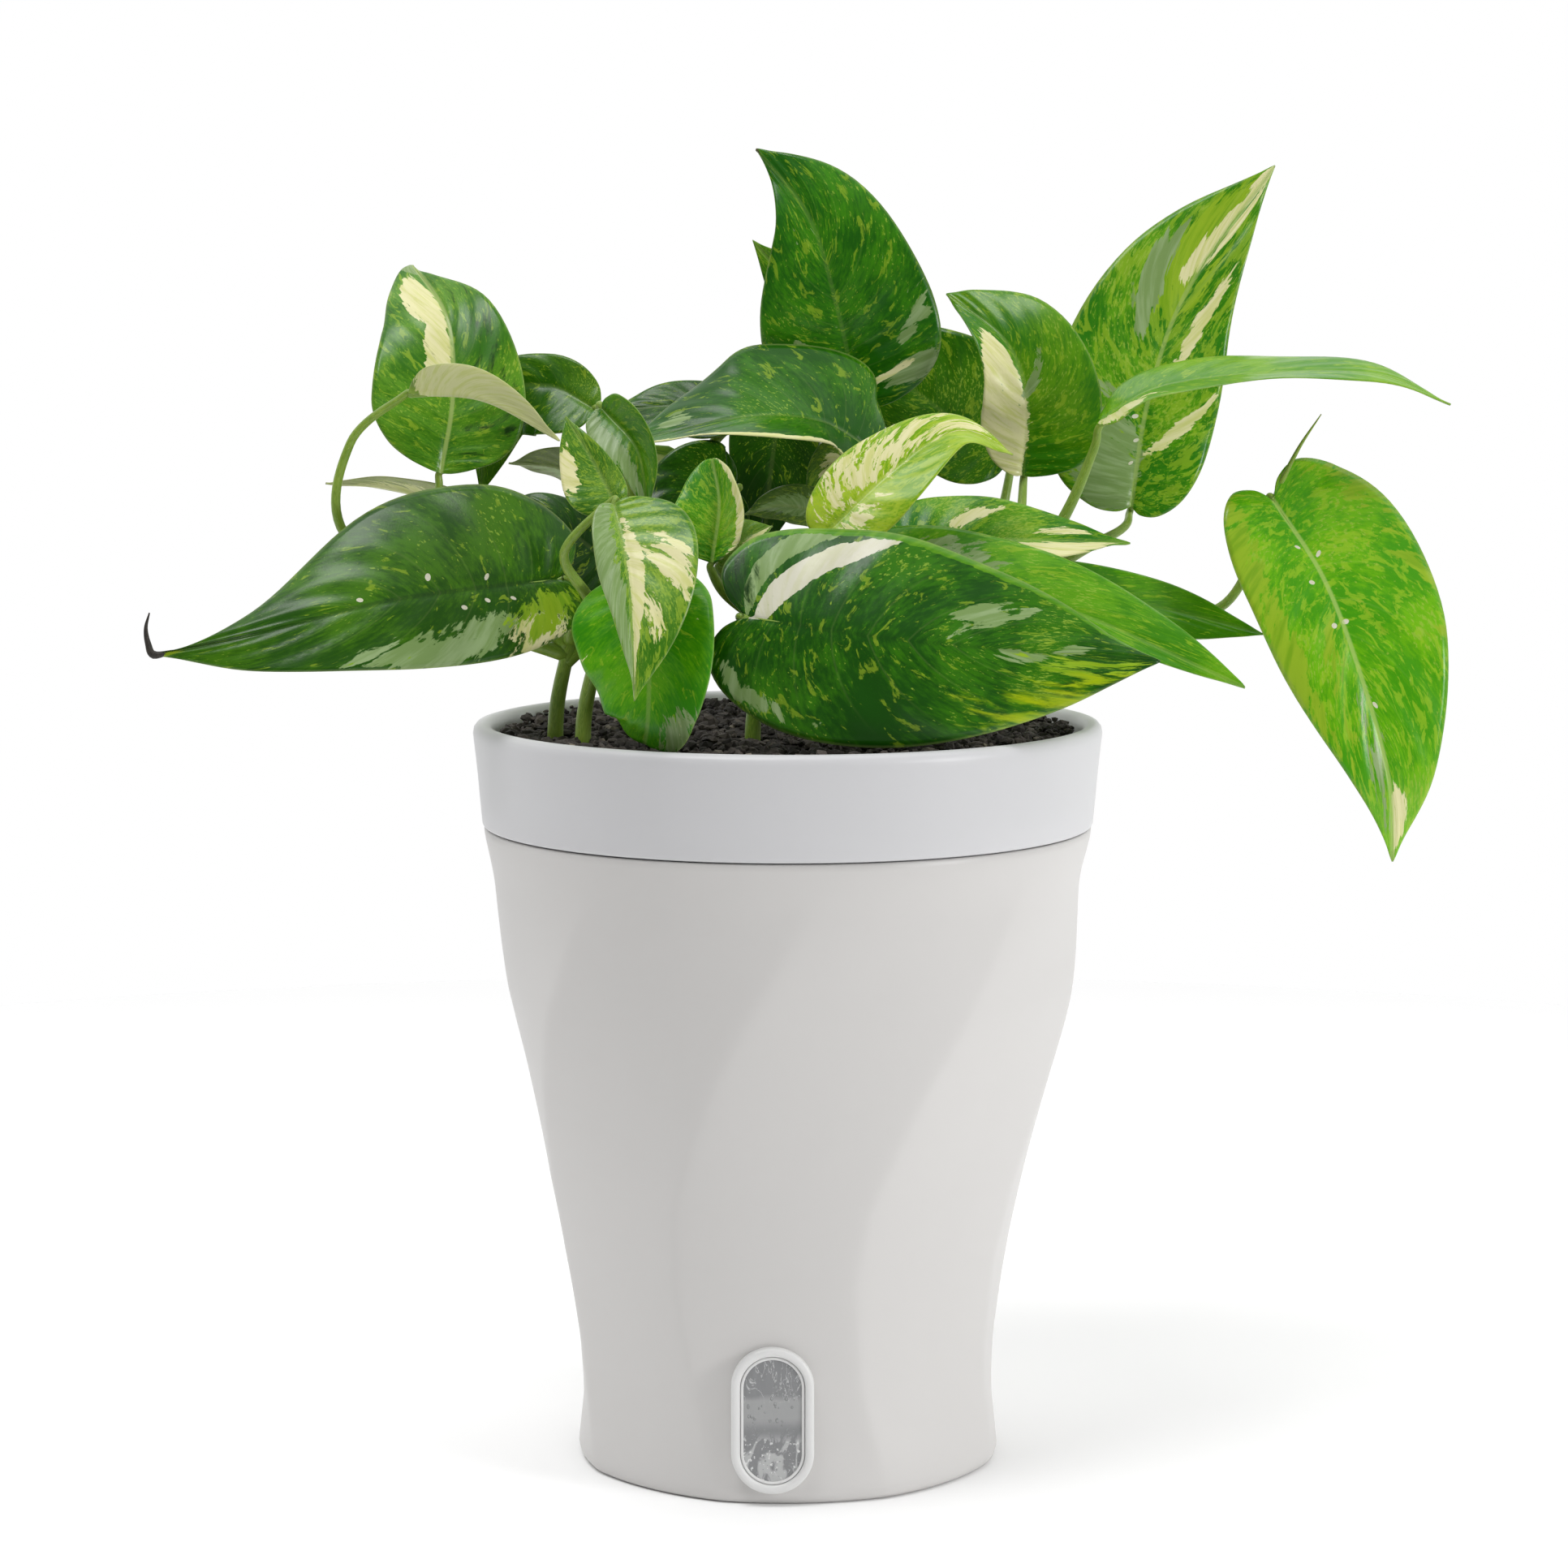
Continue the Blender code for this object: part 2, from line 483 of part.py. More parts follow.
# ---- leaf blades -----------------------------------------------------------------------------------------
def blade_frames(midrib, faces, along):
    """Places on the midrib, with its heading, the way the blade faces there and the way across it."""
    dense = np.linspace(0.0, 1.0, 81)
    curve = smooth_curve(midrib, dense)
    lengths = np.concatenate([[0.0], np.cumsum(np.linalg.norm(np.diff(curve, axis=0), axis=1))])
    inside = np.clip(along, 0.0, 1.0)[:, None]
    places = np.interp(inside[:, 0] * lengths[-1], lengths, dense)
    step = 0.001
    heading = smooth_curve(midrib, places + step) - smooth_curve(midrib, places - step)
    heading /= np.linalg.norm(heading, axis=1)[:, None]
    centre = smooth_curve(midrib, places) + heading * (np.minimum(along, 0.0) * lengths[-1])[:, None]
    facing = (1 - inside) * faces[0] + inside * faces[1]
    facing -= heading * np.sum(facing * heading, axis=1)[:, None]
    facing /= np.linalg.norm(facing, axis=1)[:, None]
    return centre, facing, np.cross(heading, facing)


def half_blade(leaf, side, rows, columns):
    """A grid of points over one half of a blade, its columns from the midrib (first) out to the margin."""
    width, fold, curl = leaf["widths"][side], leaf["fold"][side], leaf["curl"][side]
    bend = (curl if abs(curl) > 1e-4 else 1e-4) / width
    vein = np.linspace(0.0, 1.0, rows + 1)
    outline = smooth_curve(BLADE_OUTLINE, vein)
    margin_along = outline[:, 0] * leaf["lobe"] + outline[:, 1] * (1 - leaf["lobe"])
    fullness = np.where(vein > WIDEST_VEIN, leaf["fullness"][side], 1.0)
    margin_out = np.maximum(outline[:, 2], 0.0) ** fullness * width
    grid = []
    for column in range(columns + 1):
        share = column / columns
        along = vein ** VEIN_SWEEP * (1 - share) + margin_along * share
        out = margin_out * share
        centre, facing, across = blade_frames(leaf["midrib"], leaf["facing"], along)
        aside = (np.sin(fold + bend * out) - math.sin(fold)) / bend
        lift = (math.cos(fold) - np.cos(fold + bend * out)) / bend
        grid.append(centre + across * ((-1, 1)[side == 0] * aside)[:, None] + facing * lift[:, None])
    return np.array(grid)


def make_blade(name, leaf, material):
    right = half_blade(leaf, 0, BLADE_ROWS, BLADE_COLUMNS)
    left = half_blade(leaf, 1, BLADE_ROWS, BLADE_COLUMNS)
    sheet = np.concatenate([left[:0:-1], right])
    columns = len(sheet)
    vertices, index = [], {}
    for row in range(BLADE_ROWS + 1):
        for column in range(columns):
            end = row in (0, BLADE_ROWS)
            key = (row, "end") if end else (row, column)
            if key not in index:
                index[key] = len(vertices)
                vertices.append(sheet[BLADE_COLUMNS if end else column][row])
            index[(row, column)] = index[key]
    faces = []
    for row in range(BLADE_ROWS):
        for column in range(columns - 1):
            corners = [index[(row, column)], index[(row, column + 1)],
                       index[(row + 1, column + 1)], index[(row + 1, column)]]
            faces.append(tuple(dict.fromkeys(corners)))
    blade = make_object(name, vertices, faces, material)
    thickness = blade.modifiers.new("thickness", "SOLIDIFY")
    thickness.thickness = BLADE_THICKNESS
    thickness.offset = 0.0
    return blade


def main():
    clear_scene()
    white = make_material("white_plastic", (0.80, 0.80, 0.79), 0.35)
    make_outer_pot(white)
    make_window(white, make_material("clear_plastic", (0.62, 0.64, 0.63), 0.1, alpha=0.5))
    make_liner(make_material("white_plastic_liner", (0.80, 0.80, 0.79), 0.35))
    make_mix(make_material("potting_mix", (0.02, 0.017, 0.014), 0.95))
    make_stems(make_material("stem_green", (0.20, 0.32, 0.10), 0.5))
    for name, grown in LEAVES.items():
        make_blade(name, grown, make_material(f"{name}_skin", grown["colour"], 0.4))


main()
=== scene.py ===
"""The looks of a variegated pothos in a self-watering pot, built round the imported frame.

Fine meshes stand for the CAD nodes: the fluted pot with its rim, the water window, the potting mix with its
granules, the stems with their petioles, and one blade for each leaf with its veins and its own colouring.
Metres, +Z up, in the frame's own axes.
"""
import itertools
import math

import bmesh
import bpy
import numpy as np
from mathutils import Matrix, Vector


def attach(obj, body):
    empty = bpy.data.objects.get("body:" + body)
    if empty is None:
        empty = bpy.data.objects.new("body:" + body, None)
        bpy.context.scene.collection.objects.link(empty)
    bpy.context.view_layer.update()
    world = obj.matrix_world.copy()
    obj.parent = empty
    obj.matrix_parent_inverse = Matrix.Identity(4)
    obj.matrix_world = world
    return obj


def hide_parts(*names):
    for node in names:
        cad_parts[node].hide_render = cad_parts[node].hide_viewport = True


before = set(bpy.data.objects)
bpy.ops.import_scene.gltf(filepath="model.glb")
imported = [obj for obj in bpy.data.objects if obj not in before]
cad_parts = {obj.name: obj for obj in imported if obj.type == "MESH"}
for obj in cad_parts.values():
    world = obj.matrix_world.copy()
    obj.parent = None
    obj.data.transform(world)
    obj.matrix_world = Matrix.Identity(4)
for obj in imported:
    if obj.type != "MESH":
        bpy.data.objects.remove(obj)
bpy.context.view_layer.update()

MM = 0.001
POT, PLANTER = "pot", "planter"

# ---- pot ----
POT_OUTLINE = (                     # height and radius of the outside in mm, base to seam
    (0.0, 56.6), (0.5, 57.6), (1.5, 58.4), (3.0, 58.9), (27, 58.95), (34, 59.35), (41, 60.2), (61, 63.3),
    (82, 67.7), (109, 73.8), (123, 76.9), (130, 78.2), (138, 78.9), (150, 79.5), (162, 80.5), (170, 82.1),
    (173.6, 82.8), (174.7, 82.9), (175.2, 82.4),
)
POT_INSIDE = ((175.0, 81.0), (168, 79.2), (150, 75.5), (100, 66.9), (60, 58.9), (4, 54.8), (3, 53.8))
FLUTES = 8
FLUTE_DEPTH = 2.3                   # mm
FLUTE_TOP = 171.0                   # mm, where the flutes have run out
FLUTE_SWEEP = ((0, 5.0), (30, -3.0), (60, -6.0), (80, -4.0), (110, 5.5), (140, 17.5), (172, 30.5))
CREASE_SOFTNESS = 0.022             # of a flute's width
RIM_PROFILE = (                     # radius and height of the liner in mm, seam to rim and down inside
    (79.8, 175.7), (81.2, 175.5), (82.5, 175.5), (83.1, 175.8), (83.4, 176.4), (84.1, 184), (84.5, 189),
    (85.0, 194), (85.6, 199.2), (85.75, 200.8), (85.5, 202.2), (84.7, 203.2), (83.5, 203.5), (82.2, 203.4),
    (81.2, 202.8), (80.6, 201.8), (80.2, 200.2), (79.6, 196), (76.4, 172.6), (71.4, 150), (63.3, 100),
    (55.6, 64), (52, 60.4), (15, 60), (13, 14), (0, 14),
)
LINER_OUTSIDE = ((0, 12), (14.4, 12), (15, 12.6), (17, 58), (53, 58.4), (57, 62), (65.2, 100), (73.3, 150),
                 (78.2, 172.6))
POT_SEGMENTS = 288
BEZEL_CENTRE = (-4.0 * MM, 23.4 * MM)
BEZEL_SIZE = (22.0 * MM, 39.6 * MM)
BEZEL_RING = 2.4 * MM
BEZEL_FACE = 60.4 * MM

# ---- potting mix ----
MIX_PROFILE = (
    (0, 14.4), (12.6, 14.4), (14.5, 60.4), (51.7, 60.4), (55.2, 64), (62.9, 100), (71.0, 150), (75.9, 172.6),
    (78.6, 194), (79.2, 198.6), (77, 199.8), (50, 200.8), (0, 201.2),
)
MIX_RADIUS = 77.6                   # mm, as far out as granules lie
GRANULES = 3400
GRANULE_SIZES = (0.9, 2.4)          # mm

# ---- plant ----
BLADE_THICKNESS = 0.6 * MM
BLADE_ROWS = 64
BLADE_COLUMNS = 14
VEINS = 11
STEM_SIDES = 20
STEM_RADIUS = 2.1 * MM
PETIOLE_RADIUS = 1.3 * MM
PETIOLE_TIP_RADIUS = 0.95 * MM
NODE_SPACING = 0.05
PETIOLE_STANDOFF = 2.4 * MM
# Half a blade laid flat. Shares of its length with a heart-shaped base, the same with an egg-shaped base, and
# shares of its half width.
BLADE_OUTLINE = (
    (0.0, 0.0, 0.0), (-0.055, 0.005, 0.16), (-0.075, 0.03, 0.42), (-0.02, 0.08, 0.72), (0.10, 0.16, 0.93),
    (0.25, 0.27, 1.0), (0.42, 0.42, 0.93), (0.60, 0.60, 0.72), (0.76, 0.76, 0.45), (0.88, 0.88, 0.20),
    (0.95, 0.95, 0.07), (1.0, 1.0, 0.0),
)
WIDEST_VEIN = 5 / 11                # where the blade is widest, as a share of its veins
VEIN_SWEEP = 1.55
QUILT_HEIGHT = 0.036                # of the wider half, how far the blade swells between its veins
MARGIN_WAVE = 0.045                 # of the wider half
VEIN_SLANT = 0.16                   # how far the side veins run on towards the tip as they cross a half

# ---- studio and camera ----
DOME_FRONT_AND_BACK = (0.18, 1.0)
DOME_TOP = 0.34
FLOOR_REACH = 0.8
SOFT_LIGHTS = (                     # name, place, target, size and watts
    ("side", (1.25, -0.75, 0.45), (0.0, 0.0, 0.15), 0.4, 8.5),
    ("overhead", (-0.35, -0.40, 1.35), (0.0, 0.0, 0.2), 0.6, 7.5),
)
CAMERA_PLACE = (-0.001, -1.183, 0.3293)
CAMERA_DOWN = 6.908                 # degrees below level
CAMERA_LENS = 100                   # mm
CAMERA_SENSOR = 36                  # mm

# ---- leaves ----
DARK, GREEN, MIXED, CREAM, LIME = "leaf_dark", "leaf_green", "leaf_variegated", "leaf_cream", "leaf_lime"

STEMS = {
    "stem_left": ((-62, -22, 186), (-62, -22, 208), (-58, -22, 228)),
    "stem_front": ((-54, -34, 186), (-54, -34, 208), (-49, -37, 230)),
    "stem_middle": ((-9, -28, 186), (-9, -28, 208), (-4, -24, 232)),
    "stem_rear": ((6, 34, 186), (6, 34, 210), (9, 35, 230)),
    "stem_right": ((48, 6, 186), (48, 6, 208), (56, 6, 232)),
    "stem_rear_left": ((-34, 28, 186), (-34, 28, 210), (-40, 22, 244)),
    "stem_rear_right": ((46, 44, 186), (46, 44, 204), (49, 45, 216), (58, 48, 232)),
}


def leaf(midrib, facing, widths, stem, route=(), colour=GREEN, fold=(8, 8), curl=(-8, -8), fullness=(1, 1),
         lobe=1):
    """One leaf. Lengths are in mm, angles in degrees, and pairs are right and left as seen with the tip up.

    midrib     points from the blade's base to its tip
    facing     which way the upper face looks, at the base and at the tip: azimuth (0 is the front, 90 the
               right) and elevation
    widths     of the two halves
    stem       the stem that the leaf grows from
    route      points that the petiole passes between the stem's top and the blade
    fold       how far each half turns up from flat at the midrib
    curl       how much further its margin turns up
    fullness   below 1 the half stays broad towards the tip, above 1 it narrows early
    lobe       1 for a heart-shaped base, 0 for an egg-shaped one
    """
    return {
        "midrib": np.array(midrib) * MM, "facing": [direction(*way) for way in facing],
        "widths": np.array(widths) * MM, "stem": stem, "route": [np.array(point) * MM for point in route],
        "colour": colour, "fold": np.radians(fold), "curl": np.radians(curl), "fullness": fullness,
        "lobe": lobe,
    }


def direction(azimuth, elevation):
    turn, rise = math.radians(azimuth), math.radians(elevation)
    return np.array([math.sin(turn) * math.cos(rise), -math.cos(turn) * math.cos(rise), math.sin(rise)])


LEAVES = {
    "leaf_far_left": leaf(
        ((-60, -36, 245), (-104, -48, 240), (-140, -52, 231), (-166, -50, 226)), ((0, 35), (0, 40)), (31, 20),
        "stem_left", ((-57, -28, 236),), DARK, (12, -15), (-15, -10), (2, 0.9), 0.8),
    "leaf_left_upright": leaf(
        ((-94, -2, 271), (-91, 4, 291), (-93, 14, 312), (-104, 34, 327)), ((10, 10), (-10, 60)), (20, 22),
        "stem_left", ((-72, -14, 236), (-92, -2, 256)), MIXED, (12, 8), (-10, -10), (1.15, 0.5), 0),
    "leaf_left_arched": leaf(
        ((-100, -28, 294), (-80, -31, 292), (-60, -32, 281)), ((20, 80), (20, 80)), (9, 8),
        "stem_left", ((-88, -22, 234), (-118, -24, 256), (-116, -26, 280)), CREAM, (65, 40), (10, 10),
        (0.8, 1), 0),
    "leaf_left_back": leaf(
        ((-53, 12, 288), (-66, 18, 294), (-80, 21, 290), (-85, 20, 264)), ((0, 20), (0, 10)), (9, 15),
        "stem_rear_left", ((-44, 18, 268),), DARK, (5, 5), (0, 0), (0.9, 0.8), 0.3),
    "leaf_left_narrow": leaf(
        ((-50, -12, 289), (-40, -20, 278), (-37, -24, 261)), ((-10, 20), (-10, 10)), (9, 9),
        "stem_rear_left", ((-44, 4, 262), (-50, -4, 280)), GREEN, (15, 45), (0, 0), (0.9, 0.8), 0.3),
    "leaf_centre_wide": leaf(
        ((23, 8, 277), (8, 2, 285), (-14, -7, 286), (-46, -4, 278)), ((0, 40), (-10, 50)), (27, 20),
        "stem_rear", ((28, 28, 256),), DARK, (0, 28), (0, 0), (0.9, 0.9), 0.6),
    "leaf_left_streaked": leaf(
        ((-45, -60, 266), (-41, -70, 250), (-39.5, -77, 236), (-39, -82, 217)), ((5, 30), (5, 5)), (8, 19),
        "stem_front", ((-52, -45, 240), (-58, -54, 253)), MIXED, (10, 10), (0, 0), (1.3, 0.9), 0.3),
    "leaf_left_lobed": leaf(
        ((-44, -52, 264), (-50, -47, 275), (-58, -42, 288)), ((0, 10), (0, 20)), (5, 11),
        "stem_front", ((-46, -44, 250),), GREEN, (10, 10), (0, 0), (1, 0.8), 0.2),
    "leaf_front_hanging": leaf(
        ((-40, -54, 246), (-36, -64, 226), (-36, -66, 211), (-37, -63, 203.8)), ((-5, 25), (-28, -10)),
        (19, 19), "stem_front", ((-42, -42, 240),), LIME, (-3, 5), (-8, -8), (0.3, 0.3), 0.5),
    "leaf_small_upright": leaf(
        ((-20, -34, 249), (-18, -30, 264), (-20, -24, 276)), ((0, 0), (0, 30)), (9, 13),
        "stem_middle", ((-16, -30, 240),), GREEN, (45, 8), (0, 0), (0.5, 0.45), 0),
    "leaf_small_side": leaf(
        ((-17, -26, 248), (-12, -24, 254), (-4, -22, 258)), ((0, 45), (0, 45)), (7, 8),
        "stem_middle", (), MIXED, (20, 20), (0, 0), (1, 1), 0.5),
    "leaf_front_big": leaf(
        ((-11, -60, 237), (23, -65, 232), (61, -61, 228), (97, -57, 225)), ((5, 20), (5, 25)), (29, 30),
        "stem_middle", ((-10, -46, 234),), MIXED, (-15, 0), (-3, -12), (0.85, 0.95), 1),
    "leaf_front_narrow": leaf(
        ((19, -34, 250), (70, -37, 238), (121, -38, 216)), ((0, 50), (0, 30)), (11, 16),
        "stem_middle", ((6, -30, 242),), GREEN, (10, 10), (-10, -10), (1, 0.7), 0.6),
    "leaf_right_low": leaf(
        ((55, -18, 241), (95, -8, 236), (130, 0, 227)), ((0, 35), (0, 30)), (13, 10),
        "stem_right", ((55, -6, 237),), DARK, (10, 10), (0, 0), (0.8, 0.8), 0.6),
    "leaf_right_streaked": leaf(
        ((28, -17, 254), (58, -18, 254), (92, -16, 253)), ((0, 45), (0, 50)), (13, 14),
        "stem_right", ((34, -8, 246),), MIXED, (10, 10), (0, 0), (0.9, 0.9), 0.6),
    "leaf_lime_twisted": leaf(
        ((11, -42, 258), (26, -37, 272), (44, -30, 283), (60, -24, 277)), ((0, 20), (0, 60)),
        (12, 12), "stem_middle", ((4, -36, 246),), LIME, (10, 10), (0, 0), (1, 0.9), 0.8),
    "leaf_top": leaf(
        ((20, 34, 287), (14, 30, 314), (6, 31, 340), (-9, 38, 359)), ((-5, 5), (-10, 20)), (27, 23),
        "stem_rear", ((15, 37, 262),), GREEN, (8, 8), (-12, -12), (0.8, 1.4), 0.2),
    "leaf_top_behind": leaf(
        ((16, 58, 292), (6, 60, 314), (-10, 60, 334)), ((-10, 10), (-20, 20)), (15, 11),
        "stem_rear", ((19, 50, 262),), GREEN, (10, 10), (0, 0), (1, 0.9), 0.3),
    "leaf_rear_dark": leaf(
        ((62, 54, 272), (38, 58, 290), (12, 64, 310)), ((0, 10), (0, 10)), (24, 16),
        "stem_rear_right", ((60, 51, 252),), DARK, (5, 5), (0, 0), (0.8, 1), 0.3),
    "leaf_rear_cream": leaf(
        ((65, 24, 269), (66, 22, 290), (60, 24, 306), (44, 36, 319)), ((-15, 0), (-10, 30)), (21, 13),
        "stem_right", ((63, 18, 250),), CREAM, (5, 25), (-8, 0), (0.75, 1), 0.1),
    "leaf_right_tall": leaf(
        ((97, 48, 259), (102, 50, 290), (113, 55, 320), (138, 60, 355)), ((0, 5), (0, 10)), (20, 28),
        "stem_rear_right", ((80, 36, 246), (94, 43, 253)), CREAM, (8, 8), (-8, -8), (1, 0.85), 0.4),
    "leaf_right_flat": leaf(
        ((85, 4, 285), (100, -1, 294), (126, -8, 298), (156, -15, 298), (177, -18, 290)), ((0, 70), (0, 75)),
        (16, 16), "stem_right", ((74, 6, 256), (83, 6, 276)), GREEN, (8, 3), (0, 0), (1, 1), 0.2),
    "leaf_right_hanging": leaf(
        ((131, -8, 264), (144, -16, 243), (154, -22, 216), (161, -24, 190), (163, -20, 167)),
        ((10, 20), (5, 5)), (22, 29), "stem_right", ((90, 12, 230), (118, 4, 234), (129, 1, 255)), LIME,
        (5, 5), (-12, -12), (0.95, 0.9), 0.9),
    "leaf_left_sliver": leaf(
        ((-85, 14, 260), (-110, 21, 266), (-128, 24, 267)), ((180, 60), (180, 60)), (6, 7),
        "stem_rear_left", ((-64, 18, 250),), CREAM, (10, 10), (0, 0)),
    "leaf_left_grey": leaf(
        ((-51, 32, 265), (-64, 34, 271), (-78, 36, 272)), ((180, 50), (180, 50)), (9, 9),
        "stem_rear_left", ((-44, 27, 256),), MIXED, (10, 10), (0, 0)),
    "leaf_left_dark": leaf(
        ((-46, -16, 246), (-64, -16, 260), (-78, -10, 264)), ((0, 40), (0, 50)), (11, 18),
        "stem_left", ((-46, -18, 234),), DARK, (5, 5), (0, 0)),
    "leaf_rear_holed": leaf(
        ((-2, 50, 290), (-5, 47, 266), (-7, 43, 245)), ((0, 10), (0, 5)), (13, 13),
        "stem_rear", ((11, 47, 256), (9, 55, 272), (3, 57, 286)), DARK, (5, 5), (0, 0)),
    "leaf_rear_streaked": leaf(
        ((20, 20, 277), (13, 20, 270), (7, 18, 255)), ((0, 10), (0, 10)), (8, 8),
        "stem_rear", ((17, 29, 262),), MIXED, (5, 5), (0, 0)),
    "leaf_centre_grey": leaf(
        ((11, -2, 260), (-1, -2, 262), (-12, -4, 260)), ((0, 50), (0, 40)), (8, 8),
        "stem_middle", ((4, -12, 248),), MIXED, (10, 10), (0, 0)),
    "leaf_rear_left": leaf(
        ((-15, 26, 286), (-32, 28, 288), (-52, 28, 286)), ((0, 40), (0, 40)), (9, 11),
        "stem_rear_left", ((-24, 24, 272),), DARK, (5, 5), (0, 0)),
    "leaf_centre_dark": leaf(
        ((-15, 18, 266), (-26, 15, 264), (-38, 8, 250)), ((0, 20), (0, 20)), (14, 18),
        "stem_rear_left", ((-24, 22, 258),), DARK, (5, 5), (0, 0)),
    "leaf_back_low_left": leaf(
        ((-38, 52, 234), (-62, 76, 245), (-86, 90, 232)), ((150, 55), (140, 35)), (22, 22),
        "stem_rear_left", ((-36, 42, 228),), GREEN, (8, 8), (-10, -10)),
    "leaf_back_upright": leaf(
        ((-34, 58, 250), (-38, 72, 266), (-44, 80, 240)), ((180, 60), (180, 10)), (16, 16),
        "stem_rear_left", ((-32, 46, 240),), MIXED, (8, 8), (-10, -10)),
    "leaf_back_low": leaf(
        ((14, 56, 232), (22, 84, 242), (30, 106, 222)), ((175, 60), (170, 25)), (24, 24),
        "stem_rear", ((12, 48, 232.5),), GREEN, (8, 8), (-10, -10)),
    "leaf_back_low_right": leaf(
        ((66, 58, 231), (82, 76, 235), (100, 90, 220)), ((150, 55), (140, 30)), (21, 21),
        "stem_rear_right", ((62, 52, 232),), MIXED, (8, 8), (-10, -10)),
}


# ---- mesh helpers ----
def smooth_curve(points, places):
    """Points of a Catmull-Rom curve through the given points, at places from 0 to 1."""
    points = np.asarray(points, float)
    spans = len(points) - 1
    padded = np.vstack([2 * points[0] - points[1], points, 2 * points[-1] - points[-2]])
    places = np.clip(np.asarray(places, float), 0.0, 1.0) * spans
    start = np.minimum(places.astype(int), spans - 1)
    share = (places - start)[:, None]
    before, first, second, after = (padded[start + step] for step in range(4))
    return 0.5 * (2 * first + (second - before) * share
                  + (2 * before - 5 * first + 4 * second - after) * share ** 2
                  + (3 * first - before - 3 * second + after) * share ** 3)


def make_mesh(name, vertices, faces, material, smooth=True, sharp=None):
    mesh = bpy.data.meshes.new(name)
    mesh.from_pydata([tuple(point) for point in vertices], [], [tuple(face) for face in faces])
    mesh.validate()
    if smooth:
        mesh.shade_smooth()
    if sharp:
        mesh.set_sharp_from_angle(angle=sharp)
    mesh.materials.append(material)
    item = bpy.data.objects.new(name, mesh)
    bpy.context.scene.collection.objects.link(item)
    return item


def add_vectors(item, name, values):
    """Stores one vector for each vertex, for the material to read."""
    layer = item.data.attributes.new(name, "FLOAT_VECTOR", "POINT")
    layer.data.foreach_set("vector", np.asarray(values, np.float32).ravel())


def stand_for(item, body, node):
    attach(item, body)
    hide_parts(node)


def add_piece(item, body):
    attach(item, body)


def turned(name, profile, segments, material, reshape=None):
    """A surface turned about Z from (radius, height) points in metres, its outside first."""
    angles = 2 * math.pi * np.arange(segments) / segments
    vertices, rings = [], []
    for row, (radius, height) in enumerate(profile):
        if radius == 0:
            rings.append([len(vertices)])
            vertices.append((0.0, 0.0, height))
            continue
        out = reshape(row, radius, height, angles) if reshape else np.full(segments, radius)
        rings.append(list(range(len(vertices), len(vertices) + segments)))
        vertices.extend(zip(out * np.sin(angles), -out * np.cos(angles), np.full(segments, height)))
    faces = []
    for lower, upper in zip(rings, rings[1:]):
        for step in range(segments):
            following = (step + 1) % segments
            corners = [lower[step % len(lower)], lower[following % len(lower)],
                       upper[following % len(upper)], upper[step % len(upper)]]
            faces.append(tuple(dict.fromkeys(corners)))
    return make_mesh(name, vertices, faces, material, sharp=math.radians(60))


def ring_faces(rings, sides, closed=False):
    """Squares between rings of vertices that follow one another, and from the last to the first if closed."""
    faces = []
    for row in range(rings if closed else rings - 1):
        low, high = row * sides, (row + 1) % rings * sides
        for step in range(sides):
            following = (step + 1) % sides
            faces.append((low + step, low + following, high + following, high + step))
    return faces


def denser(points, longest):
    """The same outline with more points, so that no step is longer than `longest`."""
    result = [points[0]]
    for start, end in zip(points, points[1:]):
        steps = max(1, math.ceil(math.dist(start, end) / longest))
        for step in range(1, steps + 1):
            share = step / steps
            result.append(tuple(a + (b - a) * share for a, b in zip(start, end)))
    return result


def rounded_outline(points, longest):
    """A smooth run of (height, radius) points in mm through the given ones."""
    heights, radii = np.array(points, float).T
    steps = max(2, math.ceil((heights[-1] - heights[0]) / longest))
    places = np.linspace(heights[0], heights[-1], steps + 1)
    slopes = np.gradient(radii, heights)
    span = np.clip(np.searchsorted(heights, places) - 1, 0, len(heights) - 2)
    gap = heights[span + 1] - heights[span]
    share = (places - heights[span]) / gap
    late = share ** 2 * (3 - 2 * share)
    bulge = gap * share * (1 - share) * ((1 - share) * slopes[span] - share * slopes[span + 1])
    return list(zip(places, (1 - late) * radii[span] + late * radii[span + 1] + bulge))


# ---- materials ----
def srgb(red, green, blue):
    """A screen colour, 0 to 255, as the linear colour that a shader takes."""
    shares = [channel / 255 for channel in (red, green, blue)]
    return tuple(share / 12.92 if share <= 0.04045 else ((share + 0.055) / 1.055) ** 2.4 for share in shares)


class Value:
    """What one output of a node gives, for use in plain arithmetic."""

    def __init__(self, nodes, socket):
        self.nodes = nodes
        self.socket = socket

    def math(self, operation, *others, clamp=False):
        return self.nodes.add("Math", self, *others, operation=operation, use_clamp=clamp)

    def __add__(self, other):
        return self.math("ADD", other)

    def __sub__(self, other):
        return self.math("SUBTRACT", other)

    def __mul__(self, other):
        return self.math("MULTIPLY", other)

    def __truediv__(self, other):
        return self.math("DIVIDE", other)

    def __abs__(self):
        return self.math("ABSOLUTE")


